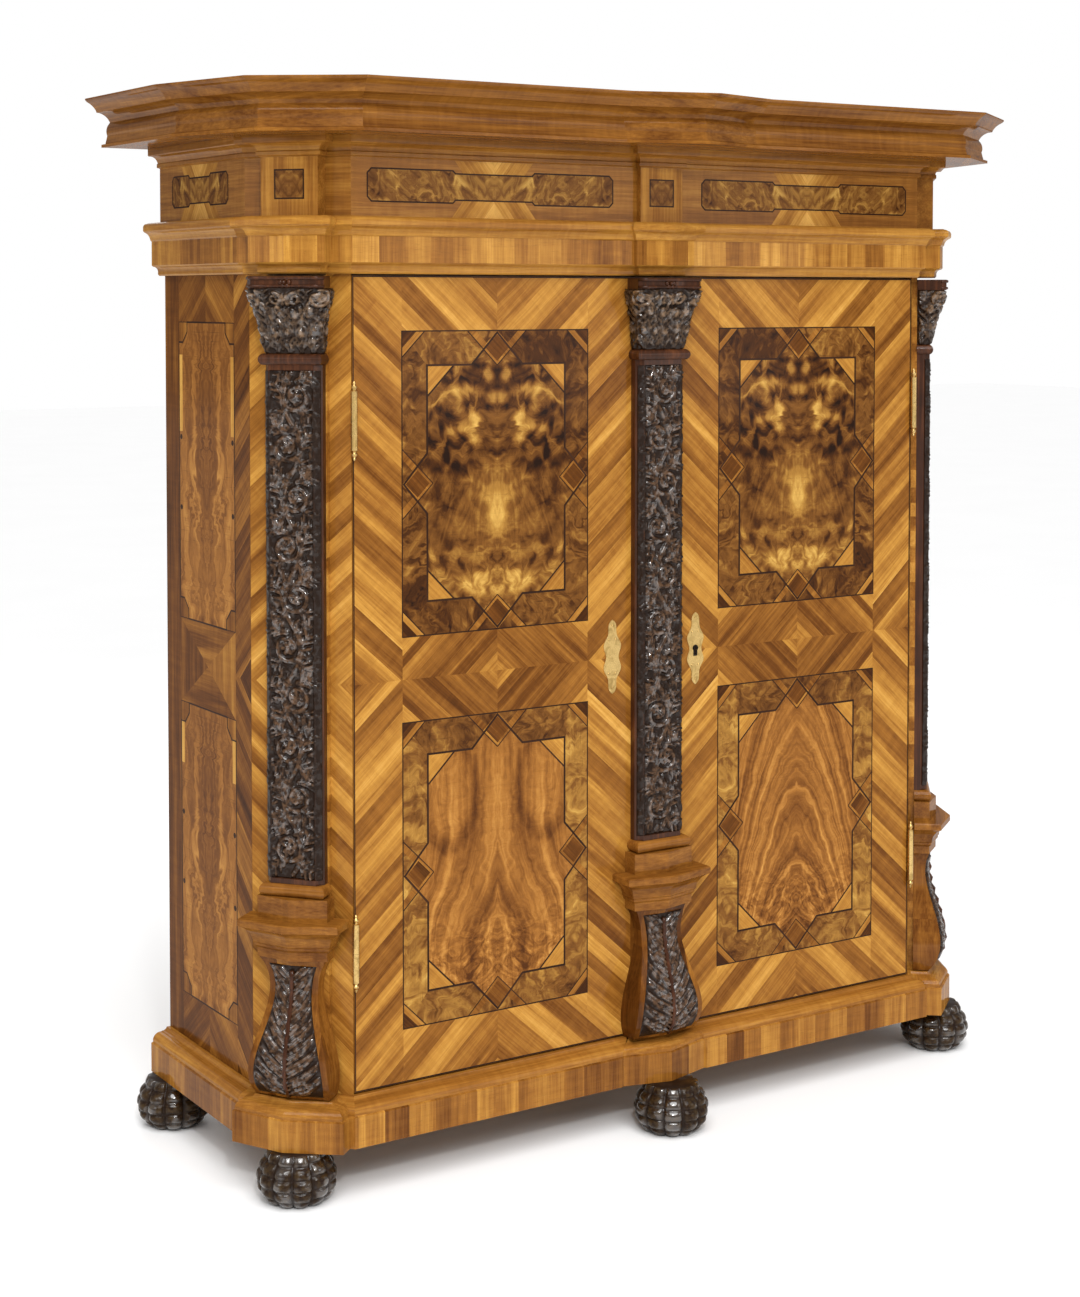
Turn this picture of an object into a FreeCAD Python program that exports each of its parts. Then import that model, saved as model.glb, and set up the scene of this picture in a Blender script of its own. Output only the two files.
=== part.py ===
import FreeCAD, Part
import math
import os
import Sketcher

# Hall cupboard with two doors, canted corners and three pilasters.
# Millimetres, +Z up, front towards -Y. The door faces lie in the plane y = 0 of the
# working layout, and every piece is then moved back so that the origin is under the middle.

Vector = FreeCAD.Vector
doc = FreeCAD.newDocument("hall_cupboard")
sheet = doc.addObject("Spreadsheet::Sheet", "sizes")

driving_sizes = [
    # carcass
    ("half_width", 860), ("carcass_depth", 582), ("leg_side", 166), ("leg_front", 138),
    ("side_thickness", 24), ("post_return", 40), ("board_thickness", 22), ("back_thickness", 12),
    ("stop_gap", 2), ("shelf_thickness", 20), ("shelf_front", 170), ("shelf_gap", 0.5),
    ("lower_shelf_rise", 515), ("upper_shelf_rise", 1065), ("cleat_size", 24),
    ("back_groove", 3), ("back_planks", 8),
    # stack of heights
    ("foot_height", 103), ("plinth_height", 90), ("opening_height", 1612), ("architrave_height", 111),
    ("frieze_height", 115), ("bed_height", 40), ("cornice_height", 100),
    # plinth
    ("plinth_reach", 44), ("plinth_wall", 30), ("plinth_ledge", 30), ("plinth_mould_height", 29),
    ("plinth_top_reach", 8), ("ledge_step", 5), ("plinth_corner_half", 74), ("plinth_corner_reach", 42),
    ("plinth_centre_half", 66), ("plinth_centre_reach", 6), ("plinth_corner_angle", 12),
    ("plinth_centre_angle", 15), ("plinth_lip", 4), ("plinth_cove", 14),
    # crown: inner wall of every run, then the reach of each moulding from the carcass faces
    ("crown_wall", 20), ("architrave_low_reach", 16), ("architrave_low_height", 22),
    ("fascia_reach", 30), ("fascia_height", 50), ("architrave_top_reach", 49), ("frieze_reach", 10),
    ("bed_low_reach", 17), ("bed_top_reach", 37), ("corona_reach", 140), ("neck_reach", 121),
    ("neck_height", 53), ("cornice_reach", 175),
    ("block_half", 50), ("block_reach", 38), ("block_prow_angle", 7),
    ("centre_block_half", 44), ("centre_block_reach", 14), ("centre_prow_angle", 11),
    ("cornice_turn_back", 239), ("cornice_ridge_reach", 28),
    ("cornice_centre_half", 148), ("cornice_centre_ridge", 46), ("dust_board_thickness", 14),
    # small steps of the crown mouldings
    ("architrave_lip", 3), ("architrave_crown", 20), ("bed_lip", 2), ("bed_fillet", 9), ("bed_drop", 13),
    ("bed_hollow", 5), ("cornice_lip", 6), ("corona_hollow", 9), ("corona_rise", 25), ("neck_bow", 4),
    ("cyma_run", 25), ("cyma_hollow", 5),
    # doors
    ("door_thickness", 26), ("door_rise_gap", 3), ("hinge_gap", 2.4), ("meeting_gap", 4), ("lap_gap", 0.6),
    # pilasters, measured from the ground that they stand on
    ("ground_thickness", 14), ("ground_half", 62), ("shaft_half", 60), ("shaft_depth", 30),
    ("shaft_edge", 12), ("shaft_flank", 14), ("shaft_field_half", 46), ("shaft_field_depth", 4),
    ("shaft_field_border", 10), ("pedestal_gap", 2.5), ("pedestal_height", 273), ("cap_height", 77),
    ("base_block_height", 43), ("torus_height", 25), ("capital_gap", 4.5), ("astragal_height", 22),
    ("bell_height", 126), ("abacus_height", 24), ("cap_half", 74), ("cap_depth", 36), ("cap_reach", 32),
    ("pilaster_prow_angle", 14), ("torus_half", 60), ("torus_depth", 31), ("torus_reach", 8),
    ("cap_foot", 17), ("cap_fillet", 12), ("cap_lip", 5), ("cap_edge", 17), ("cap_hollow", 5),
    ("torus_proud", 1), ("core_wall", 6), ("bell_inset", 2), ("abacus_horn", 12),
    ("astragal_reach", 7), ("abacus_half", 80), ("abacus_depth", 66), ("abacus_hollow", 10),
    ("pedestal_neck_half", 52), ("pedestal_bulge_half", 84), ("pedestal_top_half", 70),
    ("pedestal_foot_half", 78), ("pedestal_neck_depth", 34), ("pedestal_bulge_depth", 72),
    ("pedestal_top_depth", 46), ("pedestal_foot_depth", 46), ("pedestal_prow_angle", 7),
    # pin hinges
    ("pin_proud", 9), ("barrel_radius", 6.5), ("pin_radius", 3), ("pin_clearance", 0.05),
    ("knuckle_length", 55), ("knuckle_gap", 0.4), ("finial_length", 22), ("leaf_thickness", 2),
    ("leaf_depth", 26), ("leaf_margin", 4), ("upper_hinge_rise", 1327), ("lower_hinge_rise", 283),
    # lock, bolts and escutcheons
    ("lock_rise", 813), ("keyhole_offset", 108), ("keyhole_radius", 4.5), ("lock_edge", 8),
    ("lock_length", 130), ("lock_height", 90), ("lock_depth", 18), ("lock_wall", 2),
    ("lock_bolt_length", 60), ("lock_bolt_height", 22), ("lock_bolt_depth", 8), ("slide_gap", 0.3),
    ("keeper_length", 30), ("keeper_wall", 6), ("keeper_pocket", 20),
    ("bolt_radius", 5), ("bolt_offset", 40), ("bolt_standoff", 12), ("bolt_length", 280),
    ("bolt_hole_gap", 0.6), ("bolt_retract", 10), ("guide_width", 24), ("guide_height", 16),
    ("guide_inset", 60), ("bolt_knob_radius", 4), ("bolt_knob_length", 12),
    ("plate_half_width", 22), ("plate_height", 156), ("plate_thickness", 1.6),
    # paw feet
    ("foot_core_radius", 60), ("foot_base_radius", 50), ("foot_neck_radius", 44), ("toe_count", 9),
    ("toe_circle", 50), ("toe_radius", 29), ("toe_level", 38), ("toe_top_level", 92), ("toe_top_radius", 12),
    ("corner_foot_reach", 66), ("corner_foot_along", 15), ("centre_foot_reach", 66), ("rear_foot_inset", 48),
    ("rear_foot_out", 12), ("foot_block_half", 56), ("foot_neck_level", 91),
]


# A length that carries its number and its formula, so that a sketch can be bound to the sheet.
class Size:
    def __init__(self, value, text):
        self.value = float(value)
        self.text = text

    def __add__(self, other):
        other = as_size(other)
        return Size(self.value + other.value, "(" + self.text + " + " + other.text + ")")

    def __sub__(self, other):
        other = as_size(other)
        return Size(self.value - other.value, "(" + self.text + " - " + other.text + ")")

    def __mul__(self, factor):
        return Size(self.value * factor, "(" + self.text + " * " + str(factor) + ")")

    def __truediv__(self, divisor):
        return Size(self.value / divisor, "(" + self.text + " / " + str(divisor) + ")")

    def __neg__(self):
        return Size(-self.value, "(0 - " + self.text + ")")


def as_size(number):
    if isinstance(number, Size):
        return number
    return Size(number, str(number))


class Dimensions:
    pass


dim = Dimensions()
for row, (alias, number) in enumerate(driving_sizes, start=1):
    sheet.set("A" + str(row), alias)
    sheet.set("B" + str(row), str(number))
    sheet.setAlias("B" + str(row), alias)
doc.recompute()
for alias, number in driving_sizes:
    setattr(dim, alias, Size(sheet.get(alias), "sizes." + alias))

# Levels up the front
plinth_top = dim.foot_height + dim.plinth_height
architrave_level = plinth_top + dim.opening_height
frieze_level = architrave_level + dim.architrave_height
bed_level = frieze_level + dim.frieze_height
cornice_level = bed_level + dim.bed_height
top_level = cornice_level + dim.cornice_height
floor_top = plinth_top + dim.board_thickness
ceiling_level = architrave_level - dim.board_thickness
door_low = plinth_top + dim.door_rise_gap
door_high = architrave_level - dim.door_rise_gap
lock_level = plinth_top + dim.lock_rise
shelf_levels = (plinth_top + dim.lower_shelf_rise, plinth_top + dim.upper_shelf_rise)
hinge_levels = (plinth_top + dim.lower_hinge_rise, plinth_top + dim.upper_hinge_rise)

# Places across the front
opening_half = dim.half_width - dim.leg_front
inner_half = dim.half_width - dim.side_thickness
inner_back = dim.carcass_depth - dim.back_thickness
stop_line = dim.door_thickness + dim.stop_gap
door_outer = opening_half - dim.hinge_gap
door_inner = dim.meeting_gap / 2
pin_across = opening_half - dim.hinge_gap / 2

# The corner is canted from the point on the side to the point on the front
cant_length = math.hypot(dim.leg_side.value, dim.leg_front.value)
cant_angle = math.degrees(math.atan2(dim.leg_side.value, dim.leg_front.value))
cant_middle = (dim.half_width.value - dim.leg_front.value / 2, dim.leg_side.value / 2)

# The cornice reaches furthest forward at the ridge over the middle pilaster
centre_slope = math.atan2(dim.cornice_centre_ridge.value, dim.cornice_centre_half.value)
front_reach = dim.cornice_centre_ridge.value + dim.cornice_reach.value / math.cos(centre_slope)
middle_shift = (front_reach - dim.carcass_depth.value) / 2

pieces = []


def keep(piece, placement=None):
    base = placement if placement is not None else FreeCAD.Placement()
    shift = FreeCAD.Placement(Vector(0, middle_shift, 0), FreeCAD.Rotation())
    piece.Placement = shift.multiply(base)
    pieces.append(piece)
    return piece


def keep_shape(label, shape, placement=None):
    piece = doc.addObject("Part::Feature", label)
    piece.Label = label
    piece.Shape = shape
    return keep(piece, placement)


# Sketches and bodies
def origin_plane(body, role):
    return [plane for plane in body.Origin.OriginFeatures if plane.Role == role][0]


def sketch_on(body, name, role, offset):
    sketch = body.newObject("Sketcher::SketchObject", name)
    sketch.AttachmentSupport = [(origin_plane(body, role), "")]
    sketch.MapMode = "FlatFace"
    sketch.AttachmentOffset = FreeCAD.Placement(Vector(0, 0, as_size(offset).value), FreeCAD.Rotation())
    sketch.setExpression("AttachmentOffset.Base.z", as_size(offset).text)
    return sketch


def pin_point(sketch, geometry, which, x, y):
    for kind, length in (("DistanceX", as_size(x)), ("DistanceY", as_size(y))):
        place = sketch.addConstraint(Sketcher.Constraint(kind, -1, 1, geometry, which, length.value))
        sketch.setExpression("Constraints[" + str(place) + "]", length.text)


def add_outline(sketch, corners):
    first = sketch.GeometryCount
    count = len(corners)
    for index, (x, y) in enumerate(corners):
        next_x, next_y = corners[(index + 1) % count]
        start = Vector(as_size(x).value, as_size(y).value, 0)
        end = Vector(as_size(next_x).value, as_size(next_y).value, 0)
        sketch.addGeometry(Part.LineSegment(start, end))
    for index in range(count):
        following = first + (index + 1) % count
        sketch.addConstraint(Sketcher.Constraint("Coincident", first + index, 2, following, 1))
    for index, (x, y) in enumerate(corners):
        pin_point(sketch, first + index, 1, x, y)


def add_circle(sketch, x, y, radius):
    centre = Vector(as_size(x).value, as_size(y).value, 0)
    circle = sketch.addGeometry(Part.Circle(centre, Vector(0, 0, 1), as_size(radius).value))
    pin_point(sketch, circle, 3, x, y)
    place = sketch.addConstraint(Sketcher.Constraint("Radius", circle, as_size(radius).value))
    sketch.setExpression("Constraints[" + str(place) + "]", as_size(radius).text)


def rectangle(x_low, x_high, y_low, y_high):
    return [(x_low, y_low), (x_high, y_low), (x_high, y_high), (x_low, y_high)]


def padded(label, role, corners, offset, length):
    body = doc.addObject("PartDesign::Body", label)
    body.Label = label
    sketch = sketch_on(body, label + "_outline", role, offset)
    add_outline(sketch, corners)
    pad = body.newObject("PartDesign::Pad", label + "_pad")
    pad.Profile = sketch
    pad.Length = as_size(length).value
    pad.setExpression("Length", as_size(length).text)
    doc.recompute()
    return body


# A pocket is cut against its sketch's own direction, and has to take some volume away
def pocket(body, name, role, offset, depth, corners=None, circles=()):
    before = body.Shape.Volume
    sketch = sketch_on(body, name + "_sketch", role, offset)
    if corners is not None:
        add_outline(sketch, corners)
    for x, y, radius in circles:
        add_circle(sketch, x, y, radius)
    cut = body.newObject("PartDesign::Pocket", name)
    cut.Profile = sketch
    cut.Length = as_size(depth).value
    cut.setExpression("Length", as_size(depth).text)
    doc.recompute()
    if body.Shape.Volume >= before:
        raise RuntimeError(name + " cuts nothing")
    return cut


# Mouldings: a profile drawn as (reach, level) steps follows a plan line with plain mitres
def mitre_vectors(line, first=None, last=None):
    normals = []
    for start, end in zip(line, line[1:]):
        length = math.hypot(end[0] - start[0], end[1] - start[1])
        normals.append(((end[1] - start[1]) / length, -(end[0] - start[0]) / length))
    vectors = [first if first is not None else normals[0]]
    for before, after in zip(normals, normals[1:]):
        share = 1 + before[0] * after[0] + before[1] * after[1]
        vectors.append(((before[0] + after[0]) / share, (before[1] + after[1]) / share))
    vectors.append(last if last is not None else normals[-1])
    return normals, vectors


def moved(point, vector, distance):
    return (point[0] + vector[0] * distance, point[1] + vector[1] * distance)


def plan_prism(corners, low, high):
    loop = [Vector(x, y, low) for x, y in corners]
    face = Part.Face(Part.makePolygon(loop + loop[:1]))
    return face.extrude(Vector(0, 0, high - low))


# A step is (reach, level), or (reach, level, bow) for an arc that bows out by that much
def profile_edges(profile, place):
    edges = []
    for step, following in zip(profile, profile[1:] + profile[:1]):
        start = place(step[0], step[1])
        end = place(following[0], following[1])
        if len(following) == 3:
            run = following[0] - step[0]
            rise = following[1] - step[1]
            span = math.hypot(run, rise)
            bow = following[2]
            middle = place((step[0] + following[0]) / 2 + rise / span * bow,
                           (step[1] + following[1]) / 2 - run / span * bow)
            edges.append(Part.Arc(start, middle, end).toShape())
        else:
            edges.append(Part.makeLine(start, end))
    return edges


def moulded(line, profile, first=None, last=None):
    normals, vectors = mitre_vectors(line, first, last)
    reaches = [step[0] for step in profile]
    levels = [step[1] for step in profile]
    margin = 12
    inner = min(reaches) - margin
    outer = max(reaches) + margin
    solids = []
    for index, (start, end) in enumerate(zip(line, line[1:])):
        normal = normals[index]
        along = (-normal[1], normal[0])
        length = math.hypot(end[0] - start[0], end[1] - start[1])
        over = 3 * (outer - inner)
        origin = moved(start, along, -over)

        def place(reach, level, origin=origin, normal=normal):
            spot = moved(origin, normal, reach)
            return Vector(spot[0], spot[1], level)

        face = Part.Face(Part.Wire(profile_edges(profile, place)))
        stick = face.extrude(Vector(along[0], along[1], 0) * (length + 2 * over))
        corners = [moved(start, vectors[index], inner), moved(end, vectors[index + 1], inner),
                   moved(end, vectors[index + 1], outer), moved(start, vectors[index], outer)]
        plan = plan_prism(corners, min(levels) - margin, max(levels) + margin)
        solids.append(stick.common(plan))
    return joined(solids)


def joined(solids):
    if len(solids) == 1:
        return solids[0]
    return solids[0].fuse(solids[1:]).removeSplitter()


def mirrored(shape):
    return shape.mirror(Vector(0, 0, 0), Vector(1, 0, 0))


# Plan points of the left corner, measured along the cant and out from it
def on_cant(along, out):
    run = (dim.leg_front.value / cant_length, -dim.leg_side.value / cant_length)
    face = (run[1], -run[0])
    middle = (-cant_middle[0], cant_middle[1])
    return moved(moved(middle, run, along), face, out)


def corner_line(half, reach, prow_angle):
    ridge = reach + half * math.tan(math.radians(prow_angle))
    line = [(-dim.half_width.value, dim.leg_side.value), on_cant(-half, 0), on_cant(-half, reach)]
    if prow_angle:
        line.append(on_cant(0, ridge))
    line += [on_cant(half, reach), on_cant(half, 0), (-opening_half.value, 0)]
    return line


def front_line(half, reach, prow_angle):
    ridge = reach + half * math.tan(math.radians(prow_angle))
    line = [(-opening_half.value, 0), (-half, 0), (-half, -reach)]
    if prow_angle:
        line.append((0, -ridge))
    line += [(half, -reach), (half, 0), (opening_half.value, 0)]
    return line


# One belt of moulding round the sides, the canted corners and the front
def belt(name, profile, corner, front):
    rear = (-dim.half_width.value, dim.carcass_depth.value)
    side = [rear, corner[0]]
    whole = side + corner[1:] + front[1:]
    normals, vectors = mitre_vectors(whole)
    at_corner = vectors[1]
    at_front = vectors[len(corner)]
    mirror_front = (-at_front[0], at_front[1])
    side_run = moulded(side, profile, (-1, 0), at_corner)
    corner_run = moulded(corner, profile, at_corner, at_front)
    keep_shape(name + "_side_left", side_run)
    keep_shape(name + "_side_right", mirrored(side_run))
    keep_shape(name + "_corner_left", corner_run)
    keep_shape(name + "_corner_right", mirrored(corner_run))
    keep_shape(name + "_front", moulded(front, profile, at_front, mirror_front))


# Plinth: veneered rails with an inner ledge that carries the carcass
def make_plinth():
    low = dim.foot_height.value
    high = plinth_top.value
    reach = dim.plinth_reach.value
    top_reach = dim.plinth_top_reach.value
    inner = reach - dim.plinth_wall.value
    ledge = -dim.plinth_ledge.value
    start = high - dim.plinth_mould_height.value
    shoulder = start + dim.ledge_step.value
    lip = dim.plinth_lip.value
    cove = top_reach + dim.plinth_cove.value
    profile = [(inner, low), (reach, low), (reach, start), (reach - lip, start + lip / 2),
               (reach - lip, start + 2 * lip), (cove, high - 2 * lip, lip),
               (cove - lip, high - 2 * lip + lip / 4), (top_reach, high, -lip / 2), (ledge, high),
               (ledge, shoulder), (inner, shoulder)]
    corner = corner_line(dim.plinth_corner_half.value, dim.plinth_corner_reach.value,
                         dim.plinth_corner_angle.value)
    front = front_line(dim.plinth_centre_half.value, dim.plinth_centre_reach.value,
                       dim.plinth_centre_angle.value)
    belt("plinth", profile, corner, front)
    wide = dim.half_width + dim.plinth_reach - dim.plinth_wall
    narrow = dim.half_width - dim.plinth_ledge
    shoulder = plinth_top - dim.plinth_mould_height + dim.ledge_step
    outline = [(-wide, dim.foot_height), (wide, dim.foot_height), (wide, shoulder), (narrow, shoulder),
               (narrow, plinth_top), (-narrow, plinth_top), (-narrow, shoulder), (-wide, shoulder)]
    keep(padded("plinth_rear_rail", "XZ_Plane", outline, -dim.carcass_depth, dim.plinth_wall))


# Architrave and frieze break forward over the pilasters as blocks with mitred returns
def make_architrave():
    low = architrave_level.value
    high = frieze_level.value
    wall = -dim.crown_wall.value
    low_reach = dim.architrave_low_reach.value
    fascia = dim.fascia_reach.value
    top_reach = dim.architrave_top_reach.value
    fascia_low = low + dim.architrave_low_height.value
    fascia_high = fascia_low + dim.fascia_height.value
    lip = dim.architrave_lip.value
    crown = high - dim.architrave_crown.value
    profile = [(wall, low), (low_reach - lip, low), (low_reach, low + lip), (low_reach, low + 3 * lip),
               (fascia - lip, fascia_low - lip, -lip), (fascia, fascia_low), (fascia, fascia_high),
               (fascia + lip, fascia_high + lip), (top_reach - lip, crown, -lip), (top_reach, crown + lip),
               (top_reach, crown + 3 * lip), (top_reach - 3 * lip, high - lip / 2, lip),
               (top_reach - 4 * lip, high), (wall, high)]
    belt("architrave", profile,
         corner_line(dim.block_half.value, dim.block_reach.value, dim.block_prow_angle.value),
         front_line(dim.centre_block_half.value, dim.centre_block_reach.value, dim.centre_prow_angle.value))


def make_frieze():
    low = frieze_level.value
    bed = bed_level.value
    high = cornice_level.value
    wall = -dim.crown_wall.value
    field = dim.frieze_reach.value
    bed_low = dim.bed_low_reach.value
    bed_top = dim.bed_top_reach.value
    lip = dim.bed_lip.value
    fillet = bed + dim.bed_fillet.value
    drop = high - dim.bed_drop.value
    profile = [(wall, low), (field, low), (field, bed), (bed_low, bed + lip), (bed_low, fillet),
               (bed_low - lip, fillet + lip), (bed_top - lip, drop - lip, -dim.bed_hollow.value),
               (bed_top, drop), (bed_top, high), (wall, high)]
    belt("frieze", profile,
         corner_line(dim.block_half.value, dim.block_reach.value, 0),
         front_line(dim.centre_block_half.value, dim.centre_block_reach.value, 0))


# Cornice: turns in from the side, comes to a ridge over the corner and a prow over the middle
def make_cornice():
    low = cornice_level.value
    high = top_level.value
    wall = -dim.crown_wall.value
    corona = dim.corona_reach.value
    neck = dim.neck_reach.value
    reach = dim.cornice_reach.value
    neck_level = low + dim.neck_height.value
    lip = dim.cornice_lip.value
    hollow = dim.corona_hollow.value
    cyma = reach - dim.cyma_run.value
    cyma_level = high - dim.cyma_run.value
    profile = [(wall, low), (corona, low), (corona, low + lip), (corona - hollow, low + hollow),
               (neck + lip, low + dim.corona_rise.value),
               (neck + lip / 6, neck_level - lip / 3, dim.neck_bow.value),
               (neck, neck_level), (cyma, cyma_level - lip / 2, -dim.cyma_hollow.value),
               (cyma + lip / 6, cyma_level), (reach - lip, high - lip * 4 / 3, -lip / 3),
               (reach - lip / 2, high - lip), (reach, high - lip / 2), (reach, high), (wall, high)]
    corner = [(-dim.half_width.value, dim.cornice_turn_back.value), on_cant(0, dim.cornice_ridge_reach.value),
              (-opening_half.value, 0)]
    half = dim.cornice_centre_half.value
    front = [(-opening_half.value, 0), (-half, 0), (0, -dim.cornice_centre_ridge.value), (half, 0),
             (opening_half.value, 0)]
    belt("cornice", profile, corner, front)


def make_crown_boards():
    rail_half = dim.half_width - dim.crown_wall
    rail = padded("crown_rear_rail", "XZ_Plane",
                  rectangle(-rail_half, rail_half, architrave_level, top_level - dim.crown_wall),
                  -dim.carcass_depth, dim.crown_wall)
    keep(rail)
    normals, vectors = mitre_vectors([(-dim.half_width.value, dim.carcass_depth.value),
                                      (-dim.half_width.value, dim.leg_side.value), (-opening_half.value, 0),
                                      (opening_half.value, 0)])
    wall = dim.crown_wall.value
    cant_back = moved((-dim.half_width.value, dim.leg_side.value), vectors[1], -wall)
    cant_front = moved((-opening_half.value, 0), vectors[2], -wall)
    rear = dim.carcass_depth.value - wall
    left = [(cant_back[0], rear), cant_back, cant_front]
    right = [(-x, y) for x, y in reversed(left)]
    low = cornice_level.value - dim.dust_board_thickness.value
    keep_shape("dust_board", plan_prism(left + right, low, cornice_level.value))


# Carcass boards
def board_corners(front):
    return [(-opening_half, front), (opening_half, front), (opening_half, dim.post_return),
            (inner_half, dim.leg_side), (inner_half, inner_back), (-inner_half, inner_back),
            (-inner_half, dim.leg_side), (-opening_half, dim.post_return)]


def make_carcass():
    bolt_line = dim.door_thickness + dim.bolt_standoff
    hole = (-dim.bolt_offset, bolt_line, dim.bolt_radius + dim.bolt_hole_gap)
    for label, level in (("floor_board", plinth_top), ("top_board", ceiling_level)):
        board = padded(label, "XY_Plane", board_corners(stop_line), level, dim.board_thickness)
        pocket(board, label + "_bolt_hole", "XY_Plane", level + dim.board_thickness, dim.board_thickness,
               circles=[hole])
        keep(board)
    for label, low, high in (("side_panel_left", -dim.half_width, -inner_half),
                             ("side_panel_right", inner_half, dim.half_width)):
        panel = padded(label, "YZ_Plane",
                       rectangle(dim.leg_side, dim.carcass_depth, plinth_top, architrave_level),
                       low, high - low)
        keep(panel)
    back = padded("back_boards", "XZ_Plane", rectangle(-inner_half, inner_half, plinth_top, architrave_level),
                  -dim.carcass_depth, dim.back_thickness)
    groove = dim.back_groove
    planks = int(dim.back_planks.value)
    for index in range(1, planks):
        across = inner_half * (2 * index / planks - 1)
        pocket(back, "plank_joint_" + str(index), "XZ_Plane", -dim.carcass_depth + groove, groove,
               corners=rectangle(across - groove / 2, across + groove / 2, plinth_top, architrave_level))
    keep(back)
    shelf_half = inner_half - dim.shelf_gap
    shelves = doc.addObject("Part::Compound", "shelves")
    shelves.Label = "shelves"
    shelves.Links = [bound_box(name, (-shelf_half, dim.shelf_front, level),
                               (shelf_half * 2, inner_back - dim.shelf_front, dim.shelf_thickness))
                     for name, level in zip(("lower_shelf", "upper_shelf"), shelf_levels)]
    doc.recompute()
    keep(shelves)
    cleats = []
    for level in shelf_levels:
        for edge in (-inner_half.value, inner_half.value - dim.cleat_size.value):
            corner = Vector(edge, dim.shelf_front.value, level.value - dim.cleat_size.value)
            length = inner_back.value - dim.shelf_front.value
            cleats.append(Part.makeBox(dim.cleat_size.value, length, dim.cleat_size.value, corner))
    keep_shape("shelf_cleats", Part.makeCompound(cleats))


# Canted corner posts, each with the raised ground of its pilaster
def make_posts():
    half = dim.ground_half.value
    out = dim.ground_thickness.value
    outline = [(-dim.half_width.value, dim.leg_side.value), on_cant(-half, 0), on_cant(-half, out),
               on_cant(half, out), on_cant(half, 0), (-opening_half.value, 0),
               (-opening_half.value, dim.post_return.value), (-inner_half.value, dim.leg_side.value)]
    post = plan_prism(outline, plinth_top.value, architrave_level.value)
    keep_shape("corner_post_left", post)
    keep_shape("corner_post_right", mirrored(post))


# Pilasters, drawn with the ground at y = 0 and the face towards -Y
vase_shares = (0, 0.2, 0.83, 1)  # levels of the foot, bulge, neck and top in the pedestal's height
bell_growth = ((0, 0), (0.5, 0.18), (1, 0.85))  # shares of the bell's height and way out to the abacus
pedestal_low = plinth_top + dim.pedestal_gap
cap_low = pedestal_low + dim.pedestal_height
block_low = cap_low + dim.cap_height
torus_low = block_low + dim.base_block_height
shaft_low = torus_low + dim.torus_height
capital_height = dim.astragal_height + dim.bell_height + dim.abacus_height
astragal_low = architrave_level - dim.capital_gap - capital_height
shaft_height = astragal_low - shaft_low
bell_low = astragal_low + dim.astragal_height
abacus_low = bell_low + dim.bell_height


def smooth_edge(points):
    curve = Part.BSplineCurve()
    curve.interpolate(points)
    return curve.toShape()


# Vase outline seen from the front, cut to a prow whose depth swells in the same way
def pedestal_shape():
    low = pedestal_low.value
    height = dim.pedestal_height.value
    halves = (dim.pedestal_foot_half.value, dim.pedestal_bulge_half.value, dim.pedestal_neck_half.value,
              dim.pedestal_top_half.value)
    depths = (dim.pedestal_foot_depth.value, dim.pedestal_bulge_depth.value, dim.pedestal_neck_depth.value,
              dim.pedestal_top_depth.value)
    levels = [low + share * height for share in vase_shares]
    left = [Vector(-half, 0, level) for half, level in zip(halves, levels)]
    right = [Vector(half, 0, level) for half, level in zip(halves, levels)]
    wire = Part.Wire([smooth_edge(left), Part.makeLine(left[-1], right[-1]),
                      smooth_edge(right[::-1]), Part.makeLine(right[0], left[0])])
    deepest = max(depths) * 2
    vase = Part.Face(wire).extrude(Vector(0, -deepest, 0))
    widest = max(halves) + dim.core_wall.value
    fall = widest * math.tan(math.radians(dim.pedestal_prow_angle.value))
    facets = []
    for side in (-1, 1):
        swell = [Vector(side * widest, fall - depth, level) for depth, level in zip(depths, levels)]
        back_low = Vector(side * widest, deepest, low)
        back_high = Vector(side * widest, deepest, low + height)
        outline = Part.Wire([smooth_edge(swell), Part.makeLine(swell[-1], back_high),
                             Part.makeLine(back_high, back_low), Part.makeLine(back_low, swell[0])])
        facets.append(Part.Face(outline).extrude(Vector(-side * widest, -fall, 0)))
    return vase.common(facets[0].fuse(facets[1]))


def wrapped(half, depth, prow_angle, profile):
    ridge = depth + half * math.tan(math.radians(prow_angle))
    line = [(-half, 0), (-half, -depth)]
    if prow_angle:
        line.append((0, -ridge))
    line += [(half, -depth), (half, 0)]
    normals, vectors = mitre_vectors(line)
    inner = min(step[0] for step in profile)
    levels = [step[1] for step in profile]
    core = [moved(point, vector, inner) for point, vector in zip(line, vectors)]
    return joined([moulded(line, profile), plan_prism(core, min(levels), max(levels))])


# Cap moulding of the pedestal, the block on it and the torus under the shaft
def base_shape():
    low = cap_low.value
    block = block_low.value
    torus = torus_low.value
    high = shaft_low.value
    reach = dim.cap_reach.value
    wall = dim.core_wall.value - dim.cap_depth.value
    lip = dim.cap_lip.value
    foot = low + dim.cap_foot.value
    fillet = foot + dim.cap_fillet.value
    edge = block - dim.cap_edge.value
    cap = [(wall, low), (0, low), (0, foot), (lip, foot + lip), (lip, fillet - lip / 2),
           (lip + lip / 2, fillet), (reach - lip, edge, -dim.cap_hollow.value), (reach, edge + lip / 2),
           (reach, block - lip / 2), (reach - lip / 2, block), (0, block), (0, torus), (wall, torus)]
    round_wall = dim.core_wall.value - dim.torus_depth.value
    proud = dim.torus_proud.value
    ring = [(round_wall, torus), (proud, torus), (proud, high, dim.torus_reach.value), (round_wall, high)]
    return joined([wrapped(dim.cap_half.value, dim.cap_depth.value, dim.pilaster_prow_angle.value, cap),
                   wrapped(dim.torus_half.value, dim.torus_depth.value, 0, ring)])


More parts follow.
